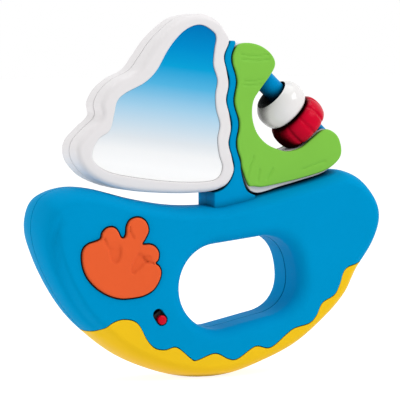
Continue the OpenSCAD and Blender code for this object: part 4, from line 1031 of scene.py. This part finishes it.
# Power switch knob, at the lower end of its slot
KNOB_BACK, KNOB_RISE, KNOB_DOME = 21.0, 0.2, 1.0
SLIDER_W, SLIDER_BACK, SLIDER_FRONT = 11.0, 19.65, 21.15
PIN_W, PIN_BACK, PIN_FRONT = 3.0, 14.5, 20.0
slide = np.array([-math.sin(SLOT_TURN), math.cos(SLOT_TURN)])
knob_at = slot_at - slide * KNOB_TRAVEL / 2
r = KNOB_D / 2
side = HALF + KNOB_RISE
dome = [(r * math.cos(a), side + KNOB_DOME * math.sin(a)) for a in np.linspace(0, math.pi / 2, 8)[:-1]]
profile = [(0, KNOB_BACK), (r, KNOB_BACK), *dome, (0, side + KNOB_DOME)]
knob = lathe(profile, np.array([knob_at[0], 0, knob_at[1]]), (0, -1, 0), 40, closed=False)
piece(knob, "knob_cap", knob_red, "power_switch", ["switch_knob"], sharp=50)


def turned_box(w, r):
    """Square with round corners at the knob, turned with the slot."""
    p = rounded_box((0, 0), w, w, r)
    c, s = math.cos(SLOT_TURN), math.sin(SLOT_TURN)
    return p @ np.array([[c, s], [-s, c]]) + knob_at


# The slider plate and pin are black, a dark sheet standing in for the shade in the slot beyond the knob.
slider = plate(turned_box(SLIDER_W, 1.0), SLIDER_BACK, SLIDER_FRONT, 0.3, groove=0.1)
slider.join(plate(turned_box(PIN_W, 0.4), PIN_BACK, PIN_FRONT, 0.2, groove=0.1))
piece(slider, "knob_slider", black_and_slot_shade, "power_switch")

# Stage: pale floor, soft light and the camera
FLOOR_HALF, FLOOR_DROP, FLOOR_GREY, FLOOR_GLOW, FLOOR_SEEN = 8, 0.0003, 0.5, 0.5, 0.34
SKY = 0.39
MIDDLE = Vector((0, 0, 0.12))
corners = [(x * FLOOR_HALF, y * FLOOR_HALF, 0) for x, y in ((-1, -1), (1, -1), (1, 1), (-1, 1))]
floor_mesh = bpy.data.meshes.new("floor")
floor_mesh.from_pydata(corners, [], [(0, 1, 2, 3)])
floor = bpy.data.objects.new("floor", floor_mesh)
floor.location.z = -FLOOR_DROP
bpy.context.scene.collection.objects.link(floor)


def seen(t):
    """1 for rays from the camera, a mirror or glass, 0 for the rest."""
    path = node(t, "ShaderNodeLightPath").outputs
    total = path["Is Camera Ray"]
    for name in ("Is Glossy Ray", "Is Transmission Ray"):
        total = node(t, "ShaderNodeMath", {0: total, 1: path[name]}, operation="MAXIMUM").outputs["Value"]
    return total


pale = bpy.data.materials.new("pale_floor")
pale.use_nodes = True
t = pale.node_tree
t.nodes.clear()
paint = node(t, "ShaderNodeBsdfDiffuse", {"Color": (FLOOR_GREY, FLOOR_GREY, FLOOR_GREY, 1)})
lift = node(t, "ShaderNodeMath", {0: seen(t), 1: FLOOR_SEEN, 2: FLOOR_GLOW}, operation="MULTIPLY_ADD")
glow = node(t, "ShaderNodeEmission", {"Strength": lift.outputs["Value"]})
both = node(t, "ShaderNodeAddShader", {0: paint.outputs[0], 1: glow.outputs[0]})
node(t, "ShaderNodeOutputMaterial", {"Surface": both.outputs[0]})
floor_mesh.materials.append(pale)

world = bpy.data.worlds.new("studio")
bpy.context.scene.world = world
world.use_nodes = True
t = world.node_tree
t.nodes.clear()
sky = node(t, "ShaderNodeBackground", {"Color": (1, 1, 1, 1), "Strength": SKY})
backdrop = node(t, "ShaderNodeBackground", {"Color": (1, 1, 1, 1)})
pick = node(t, "ShaderNodeMixShader", {0: seen(t), 1: sky.outputs[0], 2: backdrop.outputs[0]})
node(t, "ShaderNodeOutputWorld", {"Surface": pick.outputs[0]})


def lamp(name, place, power, size):
    """Square soft light that points at the middle of the boat."""
    data = bpy.data.lights.new(name, "AREA")
    data.energy, data.size = power, size
    obj = bpy.data.objects.new(name, data)
    obj.location = place
    obj.rotation_euler = (MIDDLE - Vector(place)).to_track_quat("-Z", "Y").to_euler()
    bpy.context.scene.collection.objects.link(obj)


lamp("key", (1.2, -1.4, 1.5), 24.0, 1.2)
lamp("fill", (-1.2, -1.6, 0.5), 2.5, 1.4)
lamp("rim", (-1.6, 0.7, 0.7), 11, 1.4)
lamp("top", (0.1, 0.1, 2.0), 14, 1.6)

AIM = Vector((-0.0002, 0.00055, 0.1212))
AZIMUTH, ELEVATION, DISTANCE, LENS, SENSOR = math.radians(-26), math.radians(4), 1.8, 235, 36
data = bpy.data.cameras.new("camera")
data.lens, data.sensor_width = LENS, SENSOR
camera = bpy.data.objects.new("camera", data)
back = Vector((math.sin(AZIMUTH) * math.cos(ELEVATION), -math.cos(AZIMUTH) * math.cos(ELEVATION),
               math.sin(ELEVATION)))
camera.location = AIM + back * DISTANCE
camera.rotation_euler = (-back).to_track_quat("-Z", "Y").to_euler()
bpy.context.scene.collection.objects.link(camera)
bpy.context.scene.camera = camera
bpy.context.scene.view_settings.view_transform = "Standard"
